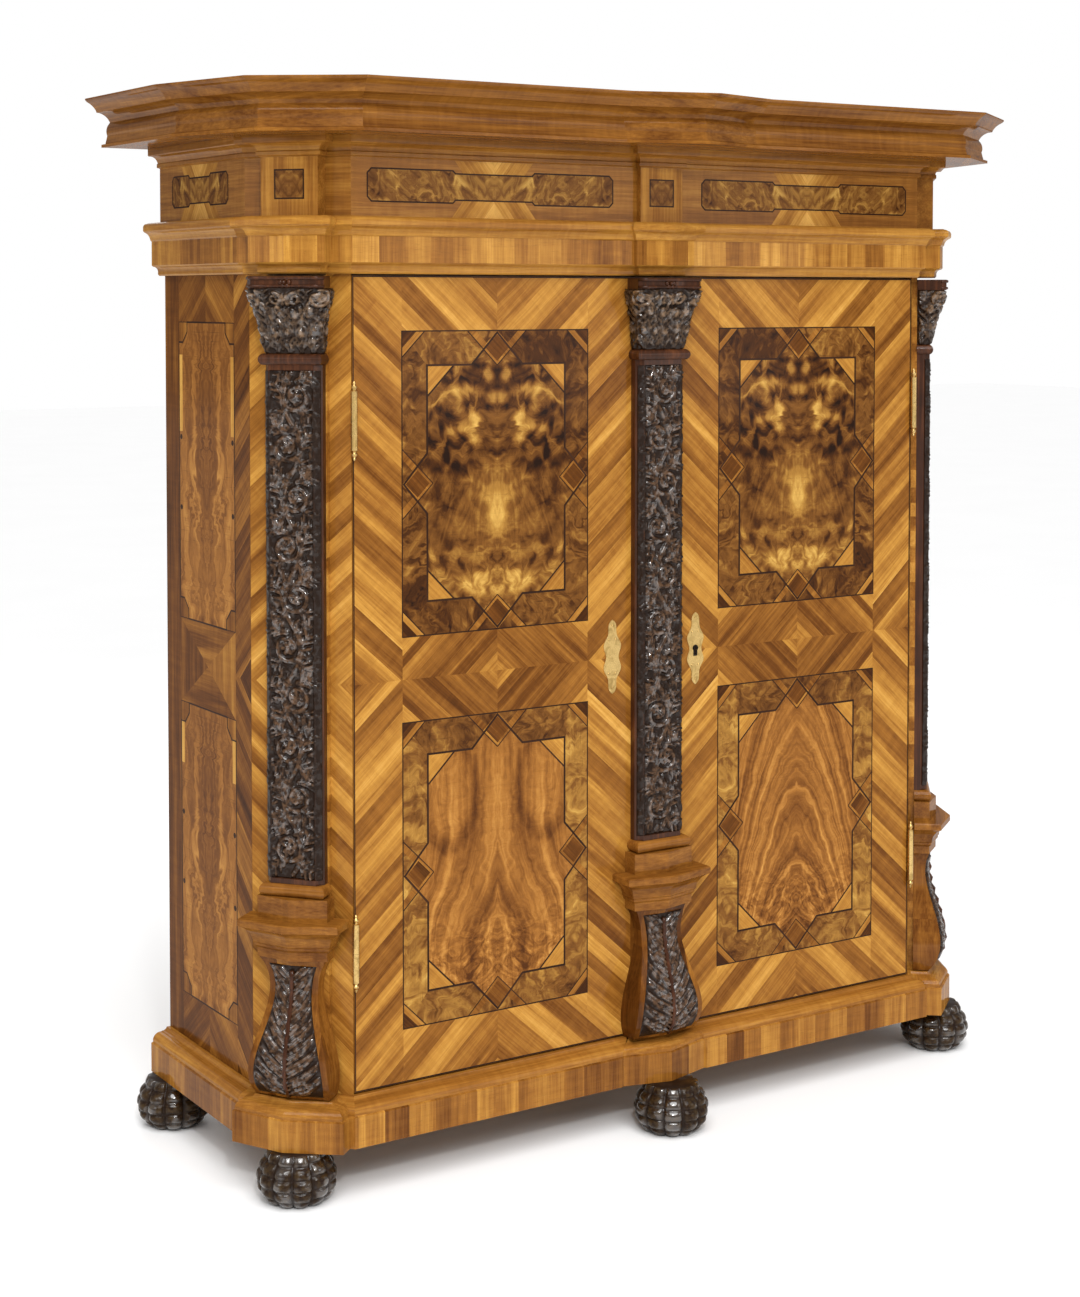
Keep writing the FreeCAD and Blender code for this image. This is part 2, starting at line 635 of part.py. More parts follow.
# Bell of the capital: grows from the shaft's outline to the hollow-sided abacus
def capital_shape():
    wall = dim.core_wall.value - dim.shaft_depth.value
    ring = [(wall, astragal_low.value), (0, astragal_low.value),
            (0, bell_low.value, dim.astragal_reach.value), (wall, bell_low.value)]
    collar = wrapped(dim.shaft_half.value, dim.shaft_depth.value, 0, ring)
    wires = []
    height = dim.bell_height.value
    inset = dim.bell_inset.value
    for share, growth in bell_growth:
        half = dim.shaft_half.value - inset + growth * (dim.abacus_half.value - dim.shaft_half.value)
        depth = dim.shaft_depth.value - inset + growth * (dim.abacus_depth.value - dim.shaft_depth.value)
        cut = dim.shaft_edge.value
        level = bell_low.value + share * height
        outline = [(-half, 0), (-half, cut - depth), (cut - half, -depth), (half - cut, -depth),
                   (half, cut - depth), (half, 0)]
        loop = [Vector(x, y, level) for x, y in outline]
        wires.append(Part.makePolygon(loop + loop[:1]))
    bell = Part.makeLoft(wires, True, False)
    half = dim.abacus_half.value
    depth = dim.abacus_depth.value
    hollow = dim.abacus_hollow.value
    horn = dim.abacus_horn.value
    level = abacus_low.value
    corner_left = Vector(-half, horn - depth, level)
    tip_left = Vector(horn - half, -depth, level)
    tip_right = Vector(half - horn, -depth, level)
    corner_right = Vector(half, horn - depth, level)
    back_right = Vector(half - hollow, 0, level)
    back_left = Vector(hollow - half, 0, level)
    front = Part.Arc(tip_left, Vector(0, hollow - depth, level), tip_right).toShape()
    wire = Part.Wire([front, Part.makeLine(tip_right, corner_right), Part.makeLine(corner_right, back_right),
                      Part.makeLine(back_right, back_left), Part.makeLine(back_left, corner_left),
                      Part.makeLine(corner_left, tip_left)])
    abacus = Part.Face(wire).extrude(Vector(0, 0, dim.abacus_height.value))
    return joined([collar, bell, abacus])


def make_shaft(label):
    half = dim.shaft_half
    depth = dim.shaft_depth
    edge = dim.shaft_edge
    flank = dim.shaft_flank
    section = [(-half, 0), (half, 0), (half, -flank), (half - edge, -depth), (edge - half, -depth),
               (-half, -flank)]
    shaft = padded(label, "XY_Plane", section, shaft_low, shaft_height)
    border = dim.shaft_field_border
    field = rectangle(-dim.shaft_field_half, dim.shaft_field_half, shaft_low + border, astragal_low - border)
    pocket(shaft, label + "_field", "XZ_Plane", depth, dim.shaft_field_depth, corners=field)
    return shaft


def pilaster_places():
    out = dim.ground_thickness.value
    left = on_cant(0, out)
    turn = FreeCAD.Rotation(Vector(0, 0, 1), -cant_angle)
    back_turn = FreeCAD.Rotation(Vector(0, 0, 1), cant_angle)
    return (("left", FreeCAD.Placement(Vector(left[0], left[1], 0), turn)),
            ("centre", FreeCAD.Placement()),
            ("right", FreeCAD.Placement(Vector(-left[0], left[1], 0), back_turn)))


def make_pilasters():
    pedestal = pedestal_shape()
    base = base_shape()
    capital = capital_shape()
    for name, place in pilaster_places():
        keep_shape("pedestal_" + name, pedestal.copy(), place)
        keep_shape("pilaster_base_" + name, base.copy(), place)
        keep(make_shaft("pilaster_shaft_" + name), place)
        keep_shape("capital_" + name, capital.copy(), place)


# Doors: the right one carries the middle pilaster, which laps the left one
def make_doors():
    left = padded("door_left", "XZ_Plane", rectangle(-door_outer, -door_inner, door_low, door_high),
                  -dim.door_thickness, dim.door_thickness - dim.lap_gap)
    keep(left)
    right = padded("door_right", "XZ_Plane", rectangle(door_inner, door_outer, door_low, door_high),
                   -dim.door_thickness, dim.door_thickness)
    pocket(right, "keyhole", "XZ_Plane", 0, dim.door_thickness,
           circles=[(dim.keyhole_offset, lock_level, dim.keyhole_radius)])
    keep(right)


# Pin hinges: the lower half is fixed to the post and has the pin, the upper half is on the door
def turned(profile):
    loop = [Vector(radius, 0, level) for radius, level in profile]
    face = Part.Face(Part.makePolygon(loop + loop[:1]))
    return face.revolve(Vector(0, 0, 0), Vector(0, 0, 1), 360)


# Turned end of a hinge: shares of the barrel's radius and of the finial's length
finial_steps = ((0, 0), (1, 0), (1, 0.12), (0.55, 0.2), (0.55, 0.28), (0.85, 0.42), (0.85, 0.56), (0.4, 0.74),
                (0.5, 0.85), (0.2, 1), (0, 1))
pin_share = 0.8  # of the upper knuckle that the pin fills


def finial(barrel, length, level, way):
    return turned([(barrel * width, level + way * share * length) for width, share in finial_steps])


def hinge_halves(level):
    barrel = dim.barrel_radius.value
    length = dim.knuckle_length.value
    gap = dim.knuckle_gap.value / 2
    pin = dim.pin_radius.value
    bore = pin + dim.pin_clearance.value
    pin_top = level + length * pin_share
    lower = turned([(0, level - length), (barrel, level - length), (barrel, level - gap), (pin, level - gap),
                    (pin, pin_top), (0, pin_top)])
    bore_top = pin_top + gap
    upper = turned([(bore, level + gap), (barrel, level + gap), (barrel, level + length), (0, level + length),
                    (0, bore_top), (bore, bore_top)])
    lower = lower.fuse(finial(barrel, dim.finial_length.value, level - length, -1))
    upper = upper.fuse(finial(barrel, dim.finial_length.value, level + length, 1))
    return lower, upper


def leaf(across, low):
    margin = dim.leaf_margin.value
    start = (dim.barrel_radius.value + dim.pin_radius.value) / 2
    depth = dim.pin_proud.value + dim.leaf_depth.value - margin - start
    height = dim.knuckle_length.value - 2 * margin
    return Part.makeBox(dim.leaf_thickness.value, depth, height, Vector(across, start, low + margin))


def make_hinges():
    half_gap = dim.hinge_gap.value / 2
    post_halves = []
    door_halves = []
    for level in hinge_levels:
        lower, upper = hinge_halves(level.value)
        post_halves.append(lower.fuse(leaf(-half_gap, level.value - dim.knuckle_length.value)))
        door_halves.append(upper.fuse(leaf(half_gap - dim.leaf_thickness.value, level.value)))
    for half in post_halves + door_halves:
        half.translate(Vector(-pin_across.value, -dim.pin_proud.value, 0))
    keep_shape("hinge_pintles", Part.makeCompound(post_halves + [mirrored(half) for half in post_halves]))
    keep_shape("hinge_knuckles_left", Part.makeCompound(door_halves))
    keep_shape("hinge_knuckles_right", Part.makeCompound([mirrored(half) for half in door_halves]))


# Escutcheons: scrolled plates, one cut for the key and one blind
plate_steps = ((0, 1), (0.42, 0.86), (0.5, 0.6), (1, 0.3), (0.72, 0))  # shares of half the width and height


def plate_shape(cut):
    half = dim.plate_half_width.value
    tall = dim.plate_height.value / 2
    upper = [Vector(half * width, 0, tall * rise) for width, rise in plate_steps]
    right = upper + [Vector(point.x, 0, -point.z) for point in upper[-2::-1]]
    left = [Vector(-point.x, 0, point.z) for point in right]
    face = Part.Face(Part.Wire([smooth_edge(right), smooth_edge(left[::-1])]))
    plate = face.extrude(Vector(0, -dim.plate_thickness.value, 0))
    if cut:
        radius = dim.keyhole_radius.value
        eye = Part.makeCylinder(radius, 4 * radius, Vector(0, 2 * radius, 0), Vector(0, -1, 0))
        slot = Part.makeBox(radius, 4 * radius, 3 * radius, Vector(-radius / 2, -2 * radius, -3 * radius))
        plate = plate.cut(eye.fuse(slot))
    return plate


def make_escutcheons():
    across = dim.keyhole_offset.value
    level = lock_level.value
    keep_shape("escutcheon_right", plate_shape(True),
               FreeCAD.Placement(Vector(across, 0, level), FreeCAD.Rotation()))
    keep_shape("escutcheon_left", plate_shape(False),
               FreeCAD.Placement(Vector(-across, dim.lap_gap.value, level), FreeCAD.Rotation()))


# A box that is bound to the sheet
def bound_box(label, corner, size):
    box = doc.addObject("Part::Box", label)
    box.Label = label
    for name, length in zip(("Length", "Width", "Height"), size):
        setattr(box, name, as_size(length).value)
        box.setExpression(name, as_size(length).text)
    for name, length in zip(("x", "y", "z"), corner):
        box.setExpression("Placement.Base." + name, as_size(length).text)
    return box


def bound_cut(label, base, tool):
    cut = doc.addObject("Part::Cut", label)
    cut.Label = label
    cut.Base = base
    cut.Tool = tool
    return cut


# Box lock on the back of the right door, and its keeper on the left door
def make_lock():
    back = dim.door_thickness
    wall = dim.lock_wall
    gap = dim.slide_gap
    middle = lock_level
    bolt_back = back + (dim.lock_depth - dim.lock_bolt_depth) / 2
    bolt_low = middle - dim.lock_bolt_height / 2
    case = bound_box("lock_outside", (dim.lock_edge, back, middle - dim.lock_height / 2),
                     (dim.lock_length, dim.lock_depth, dim.lock_height))
    hollow = bound_box("lock_hollow",
                       (dim.lock_edge + wall, back + wall, middle - dim.lock_height / 2 + wall),
                       (dim.lock_length - wall * 2, dim.lock_depth - wall * 2, dim.lock_height - wall * 2))
    mouth = bound_box("lock_mouth", (dim.lock_edge - wall, bolt_back - gap, bolt_low - gap),
                      (wall * 3, dim.lock_bolt_depth + gap * 2, dim.lock_bolt_height + gap * 2))
    eye = doc.addObject("Part::Cylinder", "lock_eye")
    eye.Radius = dim.keyhole_radius.value
    eye.setExpression("Radius", dim.keyhole_radius.text)
    eye.Height = wall.value * 2
    eye.setExpression("Height", (wall * 2).text)
    eye.Placement = FreeCAD.Placement(Vector(dim.keyhole_offset.value, (back + wall).value, middle.value),
                                      FreeCAD.Rotation(Vector(1, 0, 0), 90))
    shell = bound_cut("lock_shell", bound_cut("lock_walls", case, hollow), mouth)
    keep(bound_cut("lock_case", shell, eye))
    bolt = padded("lock_bolt", "XZ_Plane",
                  rectangle(dim.lock_edge, dim.lock_edge + dim.lock_bolt_length, bolt_low,
                            bolt_low + dim.lock_bolt_height),
                  -(bolt_back + dim.lock_bolt_depth), dim.lock_bolt_depth)
    keep(bolt)
    keeper_wall = dim.keeper_wall
    keeper_edge = door_inner + dim.meeting_gap / 2
    keeper = bound_box("keeper_block", (-(keeper_edge + dim.keeper_length), back, bolt_low - keeper_wall),
                       (dim.keeper_length, dim.lock_depth, dim.lock_bolt_height + keeper_wall * 2))
    socket = bound_box("keeper_socket",
                       (-(keeper_edge + dim.keeper_pocket), bolt_back - gap * 2, bolt_low - gap * 2),
                       (dim.keeper_pocket + keeper_wall, dim.lock_bolt_depth + gap * 4,
                        dim.lock_bolt_height + gap * 4))
    keep(bound_cut("lock_keeper", keeper, socket))


# Slide bolts at the top and bottom of the left door, drawn back from their holes
def make_slide_bolts():
    across = -dim.bolt_offset.value
    line = (dim.door_thickness + dim.bolt_standoff).value
    length = dim.bolt_length.value
    radius = dim.bolt_radius.value
    bottom_low = (floor_top + dim.bolt_retract).value
    top_low = (ceiling_level - dim.bolt_retract).value - length
    near_share = 0.6  # the knobs sit on the halves of the rods that are nearer to the lock
    guides = []
    rods = (("bottom_bolt", bottom_low, near_share), ("top_bolt", top_low, 1 - near_share))
    for label, low, knob_share in rods:
        rod = Part.makeCylinder(radius, length, Vector(across, line, low))
        knob_level = low + knob_share * length
        knob_start = Vector(across, line, knob_level)
        knob_length = radius + dim.bolt_knob_length.value
        knob = Part.makeCylinder(dim.bolt_knob_radius.value, knob_length, knob_start, Vector(0, 1, 0))
        keep_shape(label, rod.fuse(knob))
        inset = dim.guide_inset.value
        for level in (low + inset, low + length - inset):
            guides.append(guide_block(across, line, level))
    keep_shape("bolt_guides", Part.makeCompound(guides))


def guide_block(across, line, level):
    width = dim.guide_width.value
    height = dim.guide_height.value
    back = dim.door_thickness.value
    depth = 2 * (line - back)
    block = Part.makeBox(width, depth, height, Vector(across - width / 2, back, level - height / 2))
    bore = Part.makeCylinder(dim.bolt_radius.value + dim.slide_gap.value, 2 * height,
                             Vector(across, line, level - height))
    return block.cut(bore)


# Paw feet: a turned bun with a ring of swelling toes
def foot_body():
    body = doc.addObject("PartDesign::Body", "paw_foot")
    core = dim.foot_core_radius
    base = dim.foot_base_radius
    neck = dim.foot_neck_radius
    height = dim.foot_height
    level = dim.toe_level
    sketch = sketch_on(body, "bun_outline", "XZ_Plane", 0)
    add_outline(sketch, [(0, 0), (base, 0), (core, level / 2), (core, level), (neck, dim.foot_neck_level),
                         (neck, height), (0, height)])
    bun = body.newObject("PartDesign::Revolution", "bun")
    bun.Profile = sketch
    bun.ReferenceAxis = (sketch, ["V_Axis"])
    bun.Angle = 360
    swell = sketch_on(body, "toe_outline", "XZ_Plane", 0)
    circle = dim.toe_circle
    radius = dim.toe_radius
    top = dim.toe_top_level
    centre = Vector(circle.value, level.value, 0)
    ball = Part.Circle(centre, Vector(0, 0, 1), radius.value)
    arc = swell.addGeometry(Part.ArcOfCircle(ball, -math.pi / 2, 0))
    corners = [centre + Vector(radius.value, 0, 0), Vector((circle + dim.toe_top_radius).value, top.value, 0),
               Vector(circle.value, top.value, 0), centre - Vector(0, radius.value, 0)]
    flank, lid, spine = [swell.addGeometry(Part.LineSegment(start, end))
                         for start, end in zip(corners, corners[1:])]
    for before, after in ((arc, flank), (flank, lid), (lid, spine), (spine, arc)):
        swell.addConstraint(Sketcher.Constraint("Coincident", before, 2, after, 1))
    pin_point(swell, arc, 3, circle, level)
    pin_point(swell, lid, 1, circle + dim.toe_top_radius, top)
    pin_point(swell, spine, 1, circle, top)
    bound = swell.addConstraint(Sketcher.Constraint("Radius", arc, radius.value))
    swell.setExpression("Constraints[" + str(bound) + "]", radius.text)
    swell.addConstraint(Sketcher.Constraint("Vertical", spine))
    swell.addConstraint(Sketcher.Constraint("Horizontal", arc, 2, arc, 3))
    toe = body.newObject("PartDesign::Revolution", "toe")
    toe.Profile = swell
    toe.ReferenceAxis = (swell, ["Edge" + str(spine + 1)])
    toe.Angle = 360
    doc.recompute()
    ring = body.newObject("PartDesign::PolarPattern", "toes")
    ring.Originals = [toe]
    ring.Axis = (sketch, ["V_Axis"])
    ring.Angle = 360
    ring.Occurrences = int(dim.toe_count.value)
    ring.setExpression("Occurrences", dim.toe_count.text)
    body.Tip = ring
    doc.recompute()
    return body


def foot_places():
    left = on_cant(dim.corner_foot_along.value, dim.corner_foot_reach.value)
    rear_across = dim.half_width.value + dim.rear_foot_out.value
    rear_back = dim.carcass_depth.value - dim.rear_foot_inset.value
    return (("front_feet", ((left[0], left[1], -90 - cant_angle), (-left[0], left[1], cant_angle - 90),
                            (0, -dim.centre_foot_reach.value, -90))),
            ("rear_feet", ((-rear_across, rear_back, 180), (rear_across, rear_back, 0))))


# The rear feet are cut off flush with the back, so that the cupboard stands against a wall
def make_feet():
    foot = foot_body().Shape
    wide = dim.half_width.value * 2
    behind = Part.makeBox(2 * wide, wide, wide, Vector(-wide, dim.carcass_depth.value, -wide / 2))
    for label, places in foot_places():
        feet = []
        for across, back, turn in places:
            placed = foot.copy()
            spin = FreeCAD.Rotation(Vector(0, 0, 1), turn)
            placed.Placement = FreeCAD.Placement(Vector(across, back, 0), spin)
            feet.append(placed.cut(behind))
        keep_shape(label, Part.makeCompound(feet))


# Blocks inside the plinth that the feet are pegged to, fitted to the back of each prow
def prow_block(half, prow_half, prow_reach, prow_angle):
    slope = math.radians(prow_angle)
    wall = dim.plinth_reach.value - dim.plinth_wall.value
    ridge = prow_reach + prow_half * math.tan(slope) + wall / math.cos(slope)
    shoulder = ridge - half * math.tan(slope)
    back = shoulder - 2 * half
    return [(-half, shoulder), (0, ridge), (half, shoulder), (half, back), (-half, back)]


def make_foot_blocks():
    low = dim.foot_height.value
    high = plinth_top.value - dim.plinth_mould_height.value
    half = dim.foot_block_half.value
    outline = prow_block(half, dim.plinth_corner_half.value, dim.plinth_corner_reach.value,
                         dim.plinth_corner_angle.value)
    corner = plan_prism([on_cant(along, out) for along, out in outline], low, high)
    outline = prow_block(half, dim.plinth_centre_half.value, dim.plinth_centre_reach.value,
                         dim.plinth_centre_angle.value)
    centre = plan_prism([(along, -out) for along, out in outline], low, high)
    side_face = dim.half_width.value + dim.plinth_reach.value - dim.plinth_wall.value
    rear = dim.carcass_depth.value - dim.plinth_wall.value
    rear_block = plan_prism([(-side_face, rear - 2 * half), (2 * half - side_face, rear - 2 * half),
                             (2 * half - side_face, rear), (-side_face, rear)], low, high)
    blocks = [corner, mirrored(corner), rear_block, mirrored(rear_block), centre]
    keep_shape("foot_blocks", Part.makeCompound(blocks))


make_feet()
make_foot_blocks()
make_plinth()
make_carcass()
make_posts()
make_architrave()
make_frieze()
make_cornice()
make_crown_boards()
make_pilasters()
make_doors()
make_hinges()
make_escutcheons()
make_lock()
make_slide_bolts()

doc.recompute()
for item in doc.Objects:
    if "Invalid" in item.State or "Error" in item.State:
        raise RuntimeError(item.Label + " did not build")
for piece in pieces:
    if piece.Shape.isNull() or not piece.Shape.isValid():
        raise RuntimeError(piece.Label + " has no valid shape")

os.makedirs("parts", exist_ok=True)
for piece in pieces:
    piece.Shape.exportStep(os.path.join("parts", piece.Label + ".step"))
print(len(pieces), "pieces written")
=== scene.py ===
import math
import random

import bmesh
import bpy
import numpy as np
from mathutils import Matrix, Vector
from mathutils.bvhtree import BVHTree


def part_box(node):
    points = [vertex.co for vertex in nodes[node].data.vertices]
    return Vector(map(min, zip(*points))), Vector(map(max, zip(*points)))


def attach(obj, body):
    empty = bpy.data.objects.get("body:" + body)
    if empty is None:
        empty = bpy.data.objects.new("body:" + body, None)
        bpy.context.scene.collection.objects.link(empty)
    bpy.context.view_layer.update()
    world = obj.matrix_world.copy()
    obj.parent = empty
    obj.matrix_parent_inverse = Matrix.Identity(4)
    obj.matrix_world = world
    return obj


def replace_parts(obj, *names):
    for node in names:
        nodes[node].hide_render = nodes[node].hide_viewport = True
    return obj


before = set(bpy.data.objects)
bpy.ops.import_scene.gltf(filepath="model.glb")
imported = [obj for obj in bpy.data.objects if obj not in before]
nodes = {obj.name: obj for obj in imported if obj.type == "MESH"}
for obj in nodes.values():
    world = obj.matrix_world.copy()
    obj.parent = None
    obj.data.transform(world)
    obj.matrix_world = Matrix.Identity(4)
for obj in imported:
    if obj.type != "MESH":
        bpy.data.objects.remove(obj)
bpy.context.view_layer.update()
scene = bpy.context.scene
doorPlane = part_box("door_right")[0][1]  # front of the doors
backPlane = doorPlane + 0.582  # flat back of the carcass
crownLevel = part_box("cornice_front")[1][2] - 0.0006  # just under the top of the cornice
cant = math.radians(50.26)  # turn of the corner pilasters
hands = (("Left", -1), ("Right", 1))
quarters = ((1, 1), (-1, 1), (-1, -1), (1, -1))
print("frame loaded:", len(nodes), "nodes")


class Wire:  # a socket that can stand in a sum
    def __init__(self, finish, socket):
        self.finish = finish
        self.socket = socket

    def __add__(self, other):
        return self.finish.sum("ADD", self, other)

    def __radd__(self, other):
        return self.finish.sum("ADD", other, self)

    def __sub__(self, other):
        return self.finish.sum("SUBTRACT", self, other)

    def __rsub__(self, other):
        return self.finish.sum("SUBTRACT", other, self)

    def __mul__(self, other):
        return self.finish.sum("MULTIPLY", self, other)

    def __rmul__(self, other):
        return self.finish.sum("MULTIPLY", other, self)

    def __truediv__(self, other):
        return self.finish.sum("DIVIDE", self, other)


class Finish:  # one material and the nodes in it
    def __init__(self, name, fixed):
        self.material = bpy.data.materials.new(name)
        self.material.use_nodes = True
        self.tree = self.material.node_tree
        self.shader = self.tree.nodes["Principled BSDF"]
        for socketName, value in fixed.items():
            self.shader.inputs[socketName].default_value = value

    def node(self, kind, settings=None, inputs=None, out=0):
        made = self.tree.nodes.new(kind)
        for key, value in (settings or {}).items():
            if key == "stops":
                ramp = made.color_ramp
                while len(ramp.elements) < len(value):
                    ramp.elements.new(0.5)
                for element, (position, colour) in zip(ramp.elements, value):
                    element.position = position
                    element.color = (*colour, 1)
            else:
                setattr(made, key, value)
        for key, value in (inputs or {}).items():
            if isinstance(value, Wire):
                self.tree.links.new(value.socket, made.inputs[key])
            else:
                made.inputs[key].default_value = value
        return Wire(self, made.outputs[out])

    def sum(self, operation, first, second=0.0):
        return self.node("ShaderNodeMath", {"operation": operation}, {0: first, 1: second})

    def between(self, value, low, high):  # 0 at low, 1 at high, smooth in the middle
        return self.node("ShaderNodeMapRange", {"interpolation_type": "SMOOTHSTEP"},
                         {0: value, 1: low, 2: high, 3: 0.0, 4: 1.0})

    def near(self, value, centre, reach):  # 1 at centre, 0 from reach on
        return self.between(self.sum("ABSOLUTE", value - centre), reach, 0.0)

    def oval(self, across, up, centre, size):  # distance from centre in shares of size
        x = (across - centre[0]) / size[0]
        z = (up - centre[1]) / size[1]
        return self.sum("SQRT", x * x + z * z)

    def noise(self, vector, scale, detail=3.0, roughness=0.5, distortion=0.0):
        return self.node("ShaderNodeTexNoise", {}, {"Vector": vector, "Scale": scale, "Detail": detail,
                                                    "Roughness": roughness, "Distortion": distortion})

    def eyes(self, vector, scale):  # round cells of a burr
        return self.node("ShaderNodeTexVoronoi", {"feature": "SMOOTH_F1"},
                         {"Vector": vector, "Scale": scale})

    def chance(self, value):  # one even number for each whole step of value
        return self.node("ShaderNodeTexWhiteNoise", {"noise_dimensions": "1D"},
                         {"W": self.sum("FLOOR", value)})

    def stretch(self, vector, factors):
        return self.node("ShaderNodeVectorMath", {"operation": "MULTIPLY"}, {0: vector, 1: factors})

    def shift(self, vector, other):
        return self.node("ShaderNodeVectorMath", {"operation": "ADD"}, {0: vector, 1: other})

    def split(self, vector):
        made = self.node("ShaderNodeSeparateXYZ", {}, {0: vector}).socket.node
        return [Wire(self, made.outputs[index]) for index in range(3)]

    def join(self, x, y, z=0.0):
        return self.node("ShaderNodeCombineXYZ", {}, {0: x, 1: y, 2: z})

    def ramp(self, value, stops):
        return self.node("ShaderNodeValToRGB", {"stops": stops}, {0: value})

    def mix(self, factor, first, second):
        first = first if isinstance(first, Wire) else (*first, 1)
        second = second if isinstance(second, Wire) else (*second, 1)
        return self.node("ShaderNodeMix", {"data_type": "RGBA"}, {0: factor, 6: first, 7: second}, 2)

    def bump(self, height, strength, distance):
        return self.node("ShaderNodeBump", {}, {"Strength": strength, "Distance": distance,
                                                "Height": height})

    def place(self):  # metres in the frame, carried along by the body
        return self.node("ShaderNodeTexCoord", {}, {}, 3)

    def turned(self, turn):  # the same, turned about the upright
        return self.node("ShaderNodeVectorRotate", {"rotation_type": "Z_AXIS"},
                         {"Vector": self.place(), "Angle": turn})

    def grain(self):  # metres along and across the grain of a laid slip
        return self.node("ShaderNodeUVMap", {"uv_map": "grain"})

    def tone(self):
        return self.node("ShaderNodeAttribute", {"attribute_name": "tone"}, {}, 2)

    def show(self, **links):
        sockets = {"colour": "Base Color", "roughness": "Roughness", "normal": "Normal",
                   "coat": "Coat Weight"}
        for key, wire in links.items():
            self.tree.links.new(wire.socket, self.shader.inputs[sockets[key]])
        return self.material


polish = {"Coat Weight": 0.22, "Coat Roughness": 0.12, "Coat IOR": 1.45, "Specular IOR Level": 0.0}
gloss = dict(polish, **{"Coat Weight": 0.36, "Coat Roughness": 0.08})  # mouldings and turned work
walnutStops = [(0.0, (0.040, 0.012, 0.002)), (0.28, (0.125, 0.041, 0.006)), (0.52, (0.265, 0.104, 0.016)),
               (0.75, (0.450, 0.212, 0.036)), (1.0, (0.670, 0.370, 0.085))]
burlStops = [(0.0, (0.014, 0.005, 0.002)), (0.25, (0.062, 0.020, 0.004)), (0.5, (0.170, 0.066, 0.012)),
             (0.75, (0.350, 0.172, 0.032)), (1.0, (0.585, 0.345, 0.080))]
flameStops = [(0.0, (0.070, 0.021, 0.004)), (0.3, (0.180, 0.064, 0.011)), (0.55, (0.310, 0.124, 0.023)),
              (0.8, (0.470, 0.215, 0.046)), (1.0, (0.640, 0.340, 0.090))]
stringStops = [(0.0, (0.008, 0.004, 0.002)), (0.5, (0.026, 0.011, 0.005)), (1.0, (0.08, 0.03, 0.012))]
flankStops = [(0.0, (0.012, 0.005, 0.002)), (0.5, (0.045, 0.014, 0.005)), (1.0, (0.130, 0.042, 0.013))]
pineStops = [(0.0, (0.090, 0.042, 0.017)), (0.5, (0.270, 0.150, 0.064)), (1.0, (0.470, 0.305, 0.150))]
poreColour = (0.035, 0.014, 0.005)
woodLook = {"block": 0.052, "strip": 0.027, "board": 0.1672, "middle": 1.003,
            "slope": 42}  # metres, the slope in degrees


def woodValue(finish, vector, tone, streak, fibre=0.22):  # vector runs along the grain in x
    broad = finish.noise(finish.stretch(vector, (2.2, 34, 34)), 1.0, 3.0, 0.55, 0.35)
    fine = finish.noise(finish.stretch(vector, (9, 260, 260)), 1.0, 4.0, 0.6)
    ripple = finish.noise(finish.stretch(vector, (70, 9, 9)), 1.0, 2.0, 0.5, 0.6)
    return tone + (broad - 0.5) * (2 * streak) + (fine - 0.5) * (2 * fibre) + (ripple - 0.5) * 0.16


def woodSurface(finish, vector, value, stops, roughness=0.30):
    pores = finish.noise(finish.stretch(vector, (45, 1500, 1500)), 1.0, 2.0, 0.5)
    dark = finish.between(pores, 0.60, 0.74)
    colour = finish.mix(dark * 0.45, finish.ramp(value, stops), poreColour)
    rough = roughness + dark * 0.16 + (value - 0.5) * 0.05
    return finish.show(colour=colour, roughness=rough, normal=finish.bump(dark, 0.12, 0.0003))


def makeVeneer(name, stops):  # laid slips, grain and tone kept on each one
    finish = Finish(name, polish)
    vector = finish.grain()
    return woodSurface(finish, vector, woodValue(finish, vector, finish.tone(), 0.42), stops)


def makeBurr(name, base, stops, upright):  # small fields; upright adds streaks up the grain
    finish = Finish(name, polish)
    vector = finish.grain()
    swirl = finish.noise(vector, 11.0, 3.0, 0.6, 1.0) - 0.5
    bent = finish.shift(vector, finish.join(swirl * 0.12, swirl * 0.10))
    clouds = finish.noise(finish.stretch(bent, (1, 1 - 0.6 * upright, 1)), 24.0, 5.0, 0.62, 1.4)
    streak = finish.noise(finish.stretch(bent, (30, 1.8, 1)), 1.0, 3.0, 0.6, 0.8)
    burred = (clouds - 0.5) * 1.5 + (finish.eyes(bent, 60.0) - 0.45) * 0.4
    value = burred * (1 - 0.65 * upright) + (streak - 0.5) * (1.5 * upright) + finish.tone() - 0.5 + base
    return woodSurface(finish, finish.stretch(vector, (0.3, 0.3, 1)), value, stops, 0.28)


def makeBurl(name):  # upper fields, opened like a book about x = 0
    finish = Finish(name, polish)
    vector = finish.grain()
    across, up = finish.split(vector)[:2]
    swirl = finish.noise(vector, 9.0, 3.0, 0.6, 1.2) - 0.5
    bent = finish.shift(vector, finish.join(swirl * 0.09, swirl * 0.07))
    clouds = finish.noise(bent, 27.0, 5.0, 0.60, 1.0)
    fan = across / (0.06 + finish.between(up, 0.14, -0.20) * 0.10)
    plumes = finish.noise(finish.join(fan * 1.9, up * 4.6), 2.4, 5.0, 0.62, 1.2)
    skirt = finish.between(up, 0.07, -0.02) * finish.between(up, -0.19, -0.10)
    figure = clouds * (1 - 0.60 * skirt) + plumes * (0.60 * skirt)
    figure = figure + (finish.eyes(bent, 40.0) - 0.45) * (0.75 - 0.5 * skirt)
    light = finish.between(finish.oval(across, up, (0.0, -0.058), (0.042, 0.068)), 1.5, 0.15)
    wing = finish.near(across, 0.115, 0.055) * finish.near(up, 0.02, 0.11)
    hem = finish.between(up, -0.12, -0.20) * finish.between(across, 0.11, 0.03)
    value = (figure - 0.5) * 1.45 + 0.43 + light * 0.44 - wing * 0.32 + hem * 0.22
    return woodSurface(finish, finish.stretch(vector, (0.3, 0.3, 1)), value, burlStops, 0.28)


